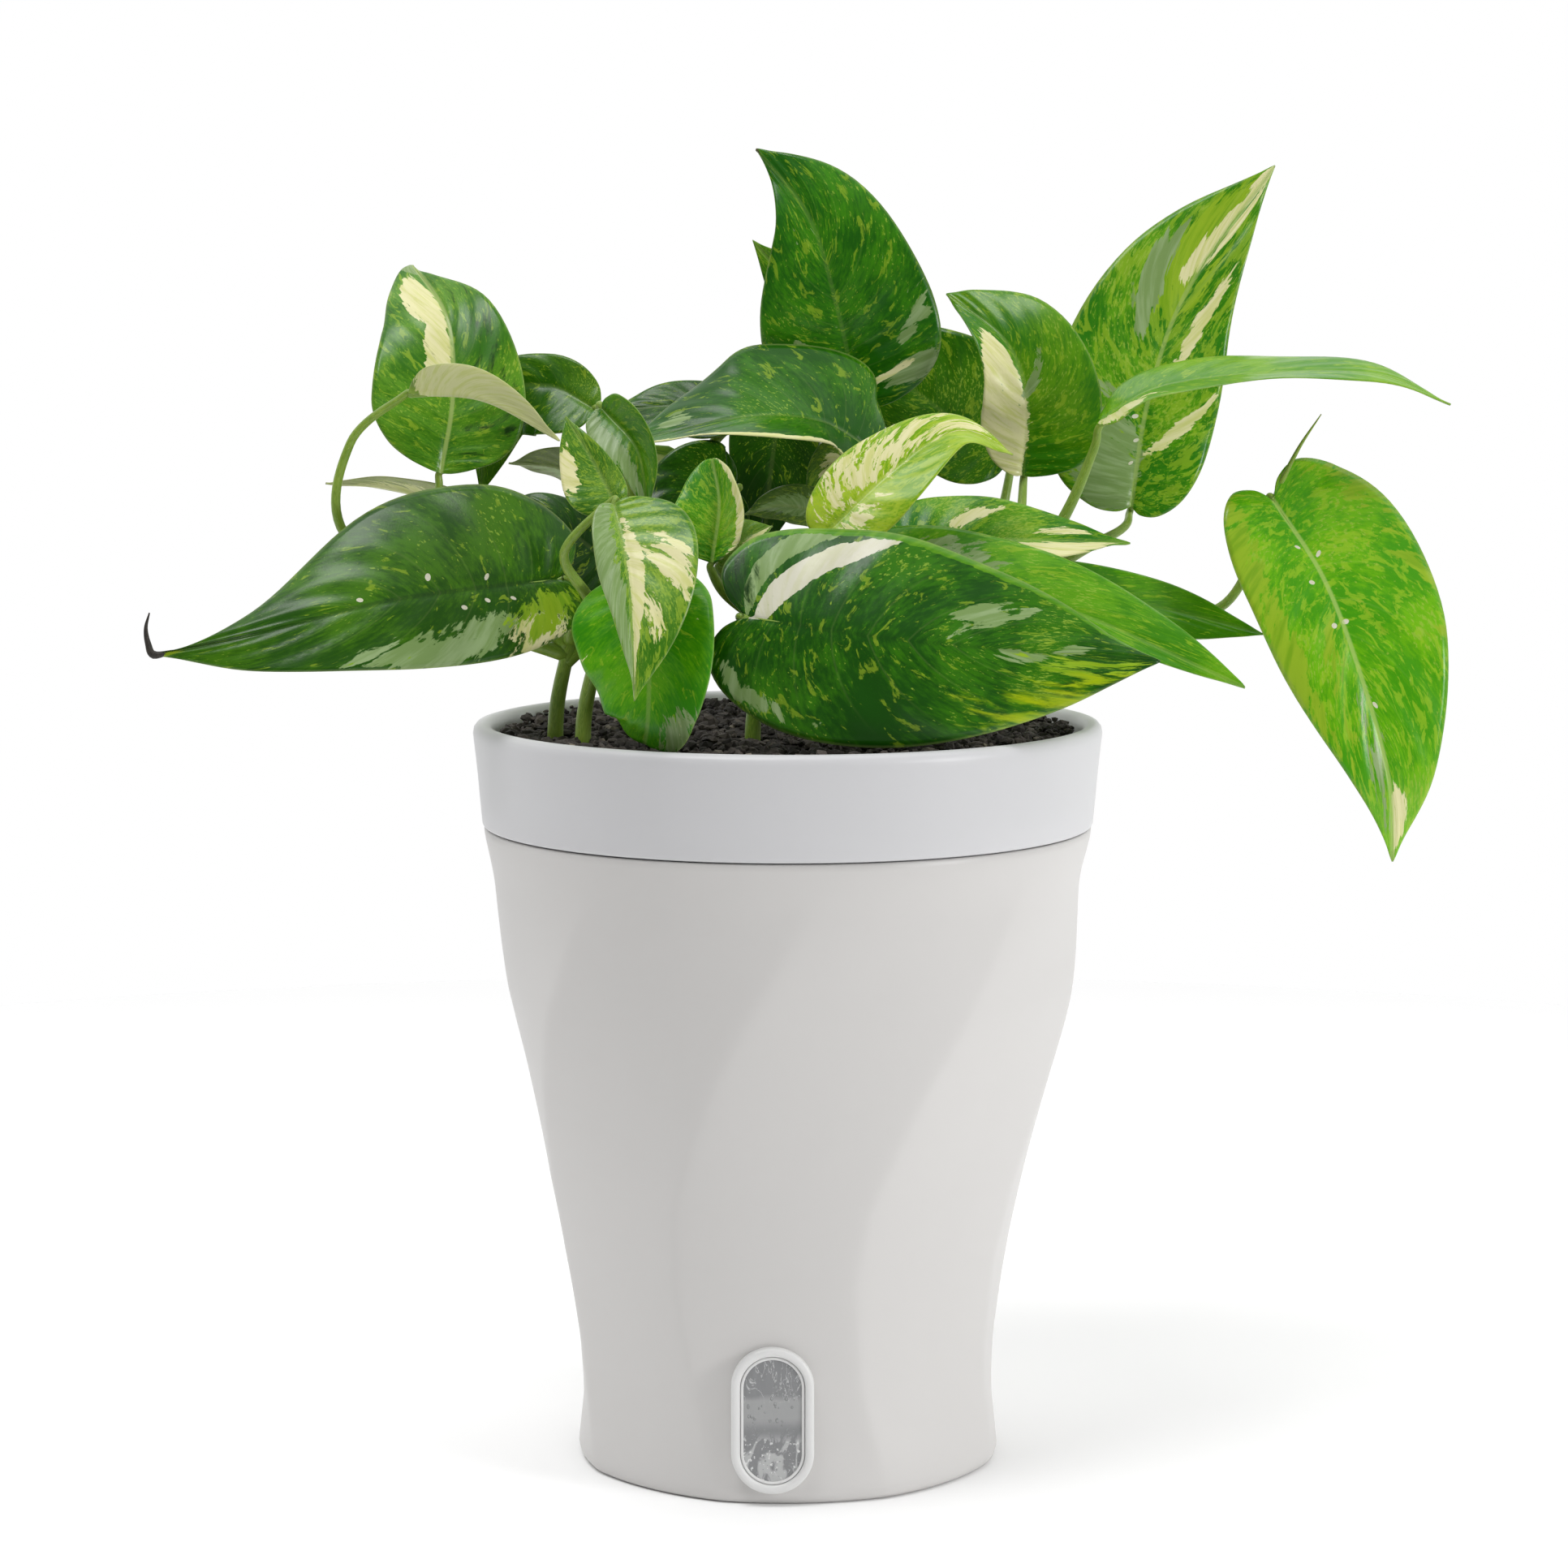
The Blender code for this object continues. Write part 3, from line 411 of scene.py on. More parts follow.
class Nodes:
    """The node tree of a material or the world, with short calls for the nodes that it is built from."""

    def __init__(self, owner, shader, **settings):
        owner.use_nodes = True
        self.owner = owner
        self.tree = owner.node_tree
        self.shader = self.tree.nodes[shader]
        for socket, value in settings.items():
            self.set(socket.replace("_", " "), value)

    def put(self, socket, value):
        """Gives a socket a number, a colour or another node's value. None leaves it as it is."""
        if isinstance(value, Value):
            self.tree.links.new(value.socket, socket)
        elif value is not None:
            socket.default_value = (*value, 1.0) if socket.type == "RGBA" else value

    def set(self, name, value):
        self.put(self.shader.inputs[name], value)

    def add(self, kind, *values, output=0, **settings):
        """A new node, with its first inputs filled in."""
        item = self.tree.nodes.new("ShaderNode" + kind)
        for setting, value in settings.items():
            setattr(item, setting, value)
        for socket, value in zip(item.inputs, values):
            self.put(socket, value)
        return Value(self, item.outputs[output])

    def mix(self, share, first, second):
        return self.add("Mix", share, *[None] * 5, first, second, output=2, data_type="RGBA")

    def step(self, value, low, high, start=0.0, end=1.0):
        """The start value below low, the end value above high, smooth between."""
        return self.add("MapRange", value, low, high, start, end, interpolation_type="SMOOTHSTEP")

    def attribute(self, name):
        return self.add("Attribute", output="Vector", attribute_name=name)

    def position(self):
        return self.add("TexCoord", output="Object")

    def split(self, vector):
        return [self.add("SeparateXYZ", vector, output=axis) for axis in range(3)]

    def noise(self, vector, scale, detail=3.0, rough=0.55, distortion=0.0):
        return self.add("TexNoise", vector, None, scale, detail, rough, None, None, None, distortion)

    def stretched(self, vector, upwards):
        return self.add("VectorMath", vector, (1.0, 1.0, upwards), operation="MULTIPLY")

    def bump(self, height, strength, distance):
        relief = self.add("Bump", strength, distance)
        self.put(relief.socket.node.inputs["Height"], height)
        self.set("Normal", relief)

    def finish(self, colour, roughness=None):
        self.set("Base Color", colour)
        self.set("Roughness", roughness)
        return self.owner


def material_nodes(name, **settings):
    return Nodes(bpy.data.materials.new(name), "Principled BSDF", **settings)


def white_plastic(name, colour):
    """Satin moulded plastic: a faint cloudiness in its gloss and a fine moulded grain."""
    nodes = material_nodes(name, IOR=1.49)
    place = nodes.position()
    cloud = nodes.noise(place, 22.0, 2.0)
    nodes.bump(nodes.noise(place, 2600.0, 2.0), 0.06, 0.0002)
    duller = tuple(0.975 * channel for channel in colour)
    return nodes.finish(nodes.mix(cloud, duller, colour), cloud * 0.10 + 0.36)


def wet_plastic():
    """The grey clear pane: a paler band of water across it, with drips above and a dried splash below."""
    nodes = material_nodes("window_clear", Roughness=0.12, IOR=1.49, Coat_Weight=0.5)
    place = nodes.position()
    height = nodes.split(place)[2]
    level = height - nodes.noise(place, 160.0, 2.0) * 0.0020
    band = nodes.step(level, 0.0190, 0.0235) * nodes.step(level, 0.0295, 0.0275)
    streaks = nodes.noise(nodes.stretched(place, 0.08), 900.0, 2.0)
    base = nodes.mix(band, srgb(116, 117, 119), srgb(152, 153, 153))
    base = nodes.mix(streaks * 0.35, base, srgb(150, 151, 151))
    smear = nodes.noise(nodes.stretched(place, 0.4), 230.0, 4.0, distortion=1.6)
    drips = nodes.step(abs(smear - 0.5), 0.014, 0.004) * nodes.step(height, 0.027, 0.031)
    low = nodes.step(height, 0.021, 0.016)
    splash = nodes.step(smear, 0.50, 0.60) * low
    marks = (drips * 0.6).math("ADD", splash * 0.55, clamp=True)
    beads = nodes.step(nodes.noise(place, 900.0, 2.0), 0.60, 0.68)
    nodes.bump(smear, 0.25, 0.0006)
    marked = nodes.mix(marks, base, srgb(206, 207, 206))
    return nodes.finish(nodes.mix(beads * low, marked, srgb(214, 215, 214)))


def water():
    nodes = material_nodes("water", Roughness=0.03, IOR=1.33, Transmission_Weight=0.6)
    cloud = nodes.noise(nodes.position(), 300.0)
    return nodes.finish(nodes.mix(cloud, srgb(190, 192, 192), srgb(214, 216, 216)))


def mix_ground():
    nodes = material_nodes("mix_ground", Roughness=0.95)
    place = nodes.position()
    nodes.bump(nodes.noise(place, 700.0, 4.0), 0.9, 0.002)
    return nodes.finish(nodes.mix(nodes.noise(place, 500.0, 4.0), srgb(24, 20, 18), srgb(58, 50, 44)))


def granule_material():
    """Bark and peat crumbs: each one has its own shade, from near black to grey brown, and a few are pale."""
    nodes = material_nodes("mix_granules", Roughness=0.85)
    shade, pale, _ = nodes.split(nodes.attribute("shade"))
    mottle = nodes.noise(nodes.position(), 1400.0, 3.0)
    colour = nodes.mix(mottle * 0.4 + shade * 0.75, srgb(16, 14, 13), srgb(84, 76, 70))
    nodes.bump(mottle, 0.5, 0.0006)
    return nodes.finish(nodes.mix(nodes.step(pale, 0.975, 0.99) * 0.7, colour, srgb(150, 140, 126)))


def stem_material(name, low, high):
    """Fleshy green stem: fine lengthwise streaks and small pale specks."""
    nodes = material_nodes(name, Roughness=0.42, Coat_Weight=0.15, Subsurface_Weight=0.08,
                           Subsurface_Scale=0.004)
    run = nodes.split(nodes.attribute("run"))
    place = nodes.position()
    streaks = nodes.noise(nodes.add("CombineXYZ", run[0] * 9.0, run[1] * 40.0, run[2]), 1.0)
    tone = (streaks * 0.7).math("ADD", nodes.noise(place, 60.0) * 0.4, clamp=True)
    speck = nodes.step(nodes.noise(place, 1500.0, 2.0), 0.70, 0.76)
    colour = nodes.mix(nodes.step(tone, 0.35, 0.75), low, high)
    nodes.bump(streaks, 0.25, 0.0003)
    return nodes.finish(nodes.mix(speck * 0.35, colour, srgb(200, 205, 150)))


# Colours that the leaves' patches take, and how softly each one's edge fades.
TINTS = {
    "cream": (srgb(224, 220, 168), srgb(206, 208, 132), 0.04),
    "white": (srgb(210, 208, 188), srgb(202, 202, 170), 0.03),
    # The pale grey green tint on the next line is painted sheen: light caught on a glossy blade, painted into
    # its colour.
    "silver": (srgb(122, 150, 88), srgb(146, 170, 118), 0.06),
    "lime": (srgb(142, 176, 36), srgb(116, 160, 22), 0.10),
    "yellow": (srgb(160, 180, 6), srgb(120, 160, 6), 0.55),
    "green": (srgb(72, 132, 6), srgb(104, 154, 26), 0.14),
    "dark": (srgb(14, 52, 2), srgb(24, 70, 2), 0.45),
    "brown": (srgb(58, 44, 30), srgb(96, 74, 44), 0.08),
}
UNDERSIDE = srgb(150, 172, 92)


def patch(tint, across, vein, half_width, half_length, strength, slant=0.0):
    """A patch of another tint: across is -1 at the left margin and 1 at the right, vein 0 at the base and 1
    at the tip, and slant is how much further along it lies for each unit across."""
    return tint, across, vein, half_width, half_length, strength, slant


def dots(across, first, last):
    """A short row of small pale spots beside the midrib."""
    return [patch("white", across + 0.05 * (step % 2), first + (last - first) * step / 2, 0.035, 0.006, 5.0)
            for step in range(3)]


def leaf_skin(name, seed, dark, light, marbling, midrib, patches):
    """A leaf's skin in two greens. Its patterns run along the veins, which fan from the midrib to the margin.

    marbling  how much of the blade paler streaks and flecks cover, 0 to 1
    midrib    how pale the line of the midrib is, -1 to 1; below 0 the line is darkened instead, a painted shade in the midrib's sunken groove
    """
    nodes = material_nodes(name, Roughness=0.28, Specular_IOR_Level=0.30)
    dark, light = srgb(*dark), srgb(*light)
    across, vein, upper = nodes.split(nodes.attribute("span"))
    place = nodes.attribute("place")
    out = nodes.split(place)[0]
    aside = abs(across)
    along = aside * -VEIN_SLANT + vein

    def vein_noise(across_scale, vein_scale, level, detail, distortion=0.0):
        where = nodes.add("CombineXYZ", across * across_scale + seed * 3.7, along * vein_scale, seed + level)
        return nodes.noise(where, 1.0, detail, 0.62, distortion)

    broad = nodes.noise(place, 48.0)
    streaks = vein_noise(2.6, 22.0, 0.0, 6.0, 0.8)
    fine = vein_noise(9.0, 90.0, 2.0, 4.0)
    colour = nodes.mix(nodes.step(broad * 0.62 + fine * 0.38, 0.42, 0.60), dark, light)

    # Paler streaks, then small flecks.
    paler = nodes.mix(0.55, light, srgb(172, 196, 52))
    level = 0.71 - 0.13 * marbling
    streaked = nodes.step(vein_noise(5.0, 30.0, 4.0, 7.0, 1.0) + fine * 0.18, level, level + 0.055)
    colour = nodes.mix(streaked * 0.62, colour, paler)
    level = 0.645 - 0.08 * marbling
    flecked = nodes.step(vein_noise(22.0, 120.0, 6.0, 4.0) * 0.7 + broad * 0.35, level, level + 0.04)
    colour = nodes.mix(flecked * 0.65, colour, srgb(150, 182, 62))

    ragged = streaks * 2.4 + fine * 0.7 - 1.55
    tint_mix = nodes.step(vein_noise(1.6, 40.0, 8.0, 3.0), 0.42, 0.66)
    for tint, centre_across, centre_vein, half_width, half_length, strength, slant in patches:
        offset = across - centre_across
        sideways = offset / half_width
        lengthways = (vein - centre_vein - offset * slant) / half_length
        far = sideways * sideways + lengthways * lengthways
        near = (far.math("MINIMUM", 2.0) - 1.0) * -strength
        first, second, soft = TINTS[tint]
        mask = nodes.step(near + ragged, 0.10, 0.16 + soft)
        colour = nodes.mix(mask, colour, nodes.mix(tint_mix, first, second))

    # The midrib, pale or (below 0) painted groove shade, the side veins, a pale hairline round the margin and
    # the paler underside.
    lighter = nodes.mix(0.5, light, srgb(206, 214, 140))
    # Below 0 the midrib line is a near black green: painted shade in the sunken groove along the midrib.
    rib_tint = lighter if midrib > 0 else tuple(0.35 * channel for channel in dark)
    colour = nodes.mix(nodes.step(abs(out), 0.0009, 0.0003) * abs(midrib), colour, rib_tint)
    off_vein = abs((along * VEINS).math("FRACT") - 0.5)
    side_vein = nodes.step(off_vein, 0.455, 0.5) * nodes.step(aside, 0.95, 0.3)
    colour = nodes.mix(side_vein * 0.08, colour, lighter)
    colour = nodes.mix(nodes.step(aside, 0.97, 0.995) * 0.30, colour, lighter)
    colour = nodes.mix(upper, nodes.mix(0.32, colour, UNDERSIDE), colour)
    nodes.bump(nodes.noise(place, 1500.0), 0.08, 0.0003)
    return nodes.finish(colour)


# ---- stems and petioles ----
def tube(points, radii, steps, seed=0.0):
    """Vertices, faces and lengthwise coordinates of a round tube with closed ends, in metres.

    radii  shares of the length, and the radius at each
    """
    places = np.linspace(0.0, 1.0, steps + 1)
    centres = smooth_curve(points, places)
    sizes = np.interp(places, *radii)
    tangents = np.gradient(centres, axis=0)
    side = np.cross(tangents[0], (0.31, 0.87, 0.12))
    lengths = curve_lengths(centres)
    vertices, run = [], []
    for centre, tangent, size, length in zip(centres, tangents, sizes, lengths):
        tangent = tangent / np.linalg.norm(tangent)
        side = side - tangent * np.dot(side, tangent)
        side = side / np.linalg.norm(side)
        other = np.cross(tangent, side)
        for step in range(STEM_SIDES):
            angle = 2 * math.pi * step / STEM_SIDES
            vertices.append(centre + size * (math.cos(angle) * side + math.sin(angle) * other))
            run.append((math.cos(angle), math.sin(angle) + 20 * length, seed))
    ends = [range(STEM_SIDES)[::-1], range(len(vertices) - STEM_SIDES, len(vertices))]
    return vertices, ends + ring_faces(steps + 1, STEM_SIDES), run


def curve_lengths(points):
    """How far along the curve each of its points lies."""
    return np.concatenate([[0.0], np.cumsum(np.linalg.norm(np.diff(points, axis=0), axis=1))])


def petiole_route(grown, order):
    """From inside the stem, lower down for each leaf in turn, to the blade's base and on under its midrib."""
    midrib = grown["midrib"]
    heading = midrib[1] - midrib[0]
    heading = heading / np.linalg.norm(heading)
    facing = grown["facing"][0] - heading * np.dot(grown["facing"][0], heading)
    facing = facing / np.linalg.norm(facing)
    approach = (heading + facing) / math.sqrt(2)
    start = smooth_curve(STEMS[grown["stem"]], [0.98 - NODE_SPACING * order])[0] * MM
    centre, facing_on, _ = blade_frames(midrib, grown["facing"], np.array([0.015, 0.10, 0.22]))
    under = centre - facing_on * np.array([[1.0], [0.75], [0.55]]) * MM
    return [start, *grown["route"], midrib[0] - approach * PETIOLE_STANDOFF, *under]


def make_stem(name, points, material):
    """One stem and its petioles in one mesh: the petioles start inside the stem, in a short sheath."""
    widths = (1.12 * STEM_RADIUS, STEM_RADIUS, 0.86 * STEM_RADIUS, 0.5 * STEM_RADIUS)
    vertices, faces, run = tube(np.array(points) * MM, ((0.0, 0.45, 0.93, 1.0), widths), 34)
    borne = [grown for grown in LEAVES.values() if grown["stem"] == name]
    for order, grown in enumerate(borne):
        route = petiole_route(grown, order)
        ends = 1.0 - 2.6 / (len(route) - 1)
        widths = ((0.0, 0.16, 0.3, ends, 1.0 - 1.2 / (len(route) - 1), 1.0),
                  (1.5 * PETIOLE_RADIUS, 1.25 * PETIOLE_RADIUS, PETIOLE_RADIUS, PETIOLE_TIP_RADIUS,
                   0.75 * PETIOLE_TIP_RADIUS, 0.2 * PETIOLE_TIP_RADIUS))
        more, more_faces, more_run = tube(route, widths, 12 * (len(route) - 1), order + 1.0)
        faces += [tuple(corner + len(vertices) for corner in face) for face in more_faces]
        vertices += more
        run += more_run
    item = make_mesh(name + "_live", vertices, faces, material)
    add_vectors(item, "run", run)
    stand_for(item, PLANTER, name)


# ---- leaf blades ----
def blade_frames(midrib, faces, along):
    """Places on the midrib, with the way the blade faces there and the way across it."""
    dense = np.linspace(0.0, 1.0, 161)
    curve = smooth_curve(midrib, dense)
    lengths = curve_lengths(curve)
    inside = np.clip(along, 0.0, 1.0)[:, None]
    places = np.interp(inside[:, 0] * lengths[-1], lengths, dense)
    step = 0.001
    heading = smooth_curve(midrib, places + step) - smooth_curve(midrib, places - step)
    heading /= np.linalg.norm(heading, axis=1)[:, None]
    centre = smooth_curve(midrib, places) + heading * (np.minimum(along, 0.0) * lengths[-1])[:, None]
    facing = (1 - inside) * faces[0] + inside * faces[1]
    facing -= heading * np.sum(facing * heading, axis=1)[:, None]
    facing /= np.linalg.norm(facing, axis=1)[:, None]
    return centre, facing, np.cross(heading, facing)


def half_blade(grown, side, vein):
    """Grids over one half of a blade, from the midrib out: points, and distances out and along in metres."""
    width, fold, curl = grown["widths"][side], grown["fold"][side], grown["curl"][side]
    bend = (curl if abs(curl) > 1e-4 else 1e-4) / width
    outline = smooth_curve(BLADE_OUTLINE, vein)
    margin_along = outline[:, 0] * grown["lobe"] + outline[:, 1] * (1 - grown["lobe"])
    fullness = np.where(vein > WIDEST_VEIN, grown["fullness"][side], 1.0)
    margin_out = np.maximum(outline[:, 2], 0.0) ** fullness * width
    length = curve_lengths(smooth_curve(grown["midrib"], np.linspace(0, 1, 60)))[-1]
    points, outs, alongs = [], [], []
    for column in range(BLADE_COLUMNS + 1):
        share = column / BLADE_COLUMNS
        along = vein ** VEIN_SWEEP * (1 - share) + margin_along * share
        out = margin_out * share
        centre, facing, across = blade_frames(grown["midrib"], grown["facing"], along)
        aside = (np.sin(fold + bend * out) - math.sin(fold)) / bend
        lift = (math.cos(fold) - np.cos(fold + bend * out)) / bend
        points.append(centre + across * ((-1, 1)[side == 0] * aside)[:, None] + facing * lift[:, None])
        outs.append(out * (-1, 1)[side == 0])
        alongs.append(along * length)
    return np.array(points), np.array(outs), np.array(alongs)


def sheet_normals(points):
    normals = np.cross(np.gradient(points, axis=1), np.gradient(points, axis=0))
    lengths = np.linalg.norm(normals, axis=2, keepdims=True)
    return normals / np.maximum(lengths, 1e-12)


def make_blade(name, grown, seed, material):
    """A closed blade: two skins, quilted between the veins, that meet round the margin."""
    vein = np.linspace(0.004, 0.996, BLADE_ROWS + 1)
    halves = zip(half_blade(grown, 1, vein), half_blade(grown, 0, vein))
    points, outs, alongs = (np.concatenate([left[:0:-1], right]) for left, right in halves)
    share = np.linspace(-1.0, 1.0, 2 * BLADE_COLUMNS + 1)[:, None]
    veins = vein[None, :] + 0 * share
    aside = np.abs(share)
    normals = sheet_normals(points)
    if np.sum(normals * np.mean(grown["facing"], axis=0)) < 0:
        normals = -normals

    # The blade swells between its side veins, sinks at the midrib and waves along its margin.
    broad = max(grown["widths"])
    body = np.sin(math.pi * veins) ** 0.6
    quilt = 0.5 + 0.5 * np.cos(2 * math.pi * VEINS * (veins - VEIN_SLANT * aside))
    lift = QUILT_HEIGHT * broad * quilt * aside ** 0.7 * (1 - aside ** 3) * body
    lift -= 0.45 * MM * np.exp(-(outs / (1.0 * MM)) ** 2) * (1 - 0.8 * veins)
    wave = np.sin(2 * math.pi * (2.1 * veins + 0.37 * seed))
    wave += 0.5 * np.sin(2 * math.pi * (4.7 * veins + 0.61 * seed))
    lift += MARGIN_WAVE * broad * aside ** 3 * body * wave * np.where(share > 0, 1.0, -0.8)
    middle = points + normals * lift[..., None]

    half = 0.5 * BLADE_THICKNESS * (0.35 + 0.65 * (1 - aside ** 6))
    rib = 0.7 * MM * np.exp(-(outs / (0.8 * MM)) ** 2) * (1 - veins) ** 0.7
    top = middle + normals * half[..., None]
    bottom = middle - normals * (half + rib)[..., None]
    columns, rows = veins.shape
    item = make_mesh(name + "_live", np.concatenate([top.reshape(-1, 3), bottom.reshape(-1, 3)]),
                     sheet_faces(columns, rows), material)
    flip_if_inside_out(item)
    sides = np.broadcast_to(share, veins.shape)
    spans = [np.stack([sides, veins, np.full_like(veins, upper)], axis=-1) for upper in (1.0, 0.0)]
    place = np.stack([outs, alongs, np.full_like(veins, seed * 0.31)], axis=-1)
    add_vectors(item, "span", np.stack(spans))
    add_vectors(item, "place", np.stack([place, place]))
    return item


def sheet_faces(columns, rows):
    """Faces of two grids of vertices, one over the other, and of the strip that joins them round the rim."""
    def index(layer, column, row):
        return (layer * columns + column) * rows + row

    faces = []
    for column in range(columns - 1):
        for row in range(rows - 1):
            square = [(column, row), (column + 1, row), (column + 1, row + 1), (column, row + 1)]
            faces.append([index(0, *corner) for corner in square])
            faces.append([index(1, *corner) for corner in square[::-1]])
    rim = [(column, 0) for column in range(columns)] + [(columns - 1, row) for row in range(1, rows)]
    rim += [(column, rows - 1) for column in range(columns - 2, -1, -1)]
    rim += [(0, row) for row in range(rows - 2, 0, -1)]
    for start, end in zip(rim, rim[1:] + rim[:1]):
        faces.append([index(0, *end), index(0, *start), index(1, *start), index(1, *end)])
    return faces


def flip_if_inside_out(item):
    """Turns every face if the closed mesh encloses a negative volume."""
    mesh = item.data
    mesh.calc_loop_triangles()
    spots = np.array([vertex.co[:] for vertex in mesh.vertices])
    corners = np.array([triangle.vertices[:] for triangle in mesh.loop_triangles])
    first, second, third = (spots[corners[:, place]] for place in range(3))
    if np.sum(first * np.cross(second, third)) < 0:
        mesh.flip_normals()


# ---- pot ----
def flute_depth(height, angles):
    """How far the outside is hollowed in metres: shallow hollows between softened creases."""
    heights, turns = zip(*FLUTE_SWEEP)
    turn = math.radians(float(np.interp(height / MM, heights, turns)))
    share = ((angles - turn) * FLUTES / (2 * math.pi) + 0.5) % 1.0
    beside = np.sqrt(np.minimum(share, 1 - share) ** 2 + CREASE_SOFTNESS ** 2) - CREASE_SOFTNESS
    fade = min(1.0, max(0.0, (FLUTE_TOP - height / MM) / 30.0)) * min(1.0, height / MM / 25.0 + 0.3)
    return FLUTE_DEPTH * MM * fade * 4 * beside * (1 - beside)


def racetrack_points(width, height, count):
    """An upright outline with half-round ends, as x and z about its middle."""
    radius, rise = width / 2, (height - width) / 2
    points = []
    for sign in (1, -1):
        for step in range(count + 1):
            angle = math.pi * step / count
            points.append((sign * radius * math.cos(angle), sign * (rise + radius * math.sin(angle))))
    return points


def make_outer_pot(material):
    outside = rounded_outline(POT_OUTLINE[3:18], 1.6)
    outside = list(POT_OUTLINE[:3]) + outside + list(POT_OUTLINE[18:])
    count = len(outside)
    profile = [(0.0, 0.4), (53.0, 0.4), (55.0, 0.0)] + [(radius, height) for height, radius in outside]
    profile += [(radius, height) for height, radius in POT_INSIDE] + [(0.0, 3.0)]

    def shape(row, radius, height, angles):
        return radius - (flute_depth(height, angles) if 3 <= row < 3 + count else 0.0)

    pot = turned("outer_pot_live", [(r * MM, z * MM) for r, z in profile], POT_SEGMENTS, material, shape)
    hole = slab("window_hole", BEZEL_SIZE[0] - 0.6 * MM, BEZEL_SIZE[1] - 0.6 * MM, BEZEL_FACE + 4 * MM,
                BEZEL_FACE - 13 * MM, material)
    cut(pot, hole)
    stand_for(pot, POT, "outer_pot")


def slab(name, width, height, front, back, material):
    outline = racetrack_points(width, height, 24)
    count = len(outline)
    faces = [range(count)[::-1], range(count, 2 * count)] + ring_faces(2, count)
    item = make_mesh(name, window_rings([outline, outline], [front, back]), faces, material, smooth=False)
    flip_if_inside_out(item)
    return item


def window_rings(outlines, depths):
    """Outlines of x and z about the window's middle, each stood that far in front of the pot's axis."""
    return [(BEZEL_CENTRE[0] + x, -depth, BEZEL_CENTRE[1] + z)
            for outline, depth in zip(outlines, depths) for x, z in outline]


def cut(target, cutter):
    modifier = target.modifiers.new("cut", "BOOLEAN")
    modifier.operation = "DIFFERENCE"
    modifier.solver = "EXACT"
    modifier.object = cutter
    bpy.context.view_layer.update()
    depsgraph = bpy.context.evaluated_depsgraph_get()
    shaped = bpy.data.meshes.new_from_object(target.evaluated_get(depsgraph))
    target.modifiers.clear()
    target.data = shaped
    bpy.data.objects.remove(cutter)


def swept_ring(name, width, height, section, material):
    """A ring round the window: a closed section of (inwards, forwards) points in metres, swept round it."""
    rings = [racetrack_points(width - 2 * inwards, height - 2 * inwards, 40) for inwards, _ in section]
    vertices = window_rings(rings, [depth for _, depth in section])
    faces = ring_faces(len(rings), len(rings[0]), closed=True)
    item = make_mesh(name, vertices, faces, material, sharp=math.radians(50))
    flip_if_inside_out(item)
    return item


def half_round(start, end, front, back, count=10):
    """A section with a rounded front face between two distances inwards."""
    middle, reach = (start + end) / 2, (end - start) / 2
    points = [(start, back)]
    for step in range(count + 1):
        angle = math.pi * step / count
        bulge = math.sin(angle) ** 0.7
        points.append((middle - reach * math.cos(angle), front - reach * 0.9 * (1 - bulge)))
    return points + [(end, back)]


def make_window(ring_material, pane_material, wet_material):
    width, height = BEZEL_SIZE
    back = BEZEL_FACE - 5.2 * MM
    frame_section = half_round(0.0, BEZEL_RING, BEZEL_FACE, back)
    bezel = swept_ring("window_bezel_live", width, height, frame_section, ring_material)
    stand_for(bezel, POT, "window_bezel")
    lip = half_round(BEZEL_RING + 0.1 * MM, BEZEL_RING + 0.9 * MM, BEZEL_FACE - 0.75 * MM,
                     BEZEL_FACE - 3.2 * MM)
    add_piece(swept_ring("window_lip", width, height, lip, ring_material), POT)
    inset = 2 * BEZEL_RING + 0.5 * MM
    front, back = BEZEL_FACE - 1.25 * MM, BEZEL_FACE - 3.3 * MM
    pane = slab("window_pane_live", width - inset, height - inset, front, back, pane_material)
    stand_for(pane, POT, "window_pane")
    add_piece(make_beads(wet_material), POT)


def make_beads(material):
    """Water beads on the pane, small and close low down, larger and fewer above."""
    rng = np.random.default_rng(11)
    shape = bmesh.new()
    bmesh.ops.create_icosphere(shape, subdivisions=2, radius=1.0)
    unit = np.array([vertex.co[:] for vertex in shape.verts])
    unit_faces = [[vertex.index for vertex in face.verts] for face in shape.faces]
    shape.free()
    vertices, faces = [], []
    for _ in range(150):
        x, z = rng.uniform(-7.0, 7.0), rng.uniform(-16.0, 15.0)
        if math.hypot(x, max(0.0, abs(z) - 8.8)) > 7.4:
            continue
        size = rng.uniform(0.12, 0.26) if z < 0 else rng.uniform(0.2, 0.5)
        if z > 0 and rng.random() < 0.6:
            continue
        centre = np.array([BEZEL_CENTRE[0] + x * MM, -(BEZEL_FACE - 1.27 * MM), BEZEL_CENTRE[1] + z * MM])
        stretch = np.array([size, 0.35 * size, size * rng.uniform(1.0, 1.5)]) * MM
        add_copy(vertices, faces, centre + unit * stretch, unit_faces)
    return make_mesh("window_beads", vertices, faces, material)


def add_copy(vertices, faces, spots, spot_faces):
    """Adds one small solid to the vertices and faces of a mesh."""
    faces += [[corner + len(vertices) for corner in face] for face in spot_faces]
    vertices += list(spots)


def make_liner(material):
    profile = list(LINER_OUTSIDE) + denser(RIM_PROFILE, 8.0)
    liner = turned("inner_pot_live", [(r * MM, z * MM) for r, z in profile], POT_SEGMENTS, material)
    stand_for(liner, PLANTER, "inner_pot")


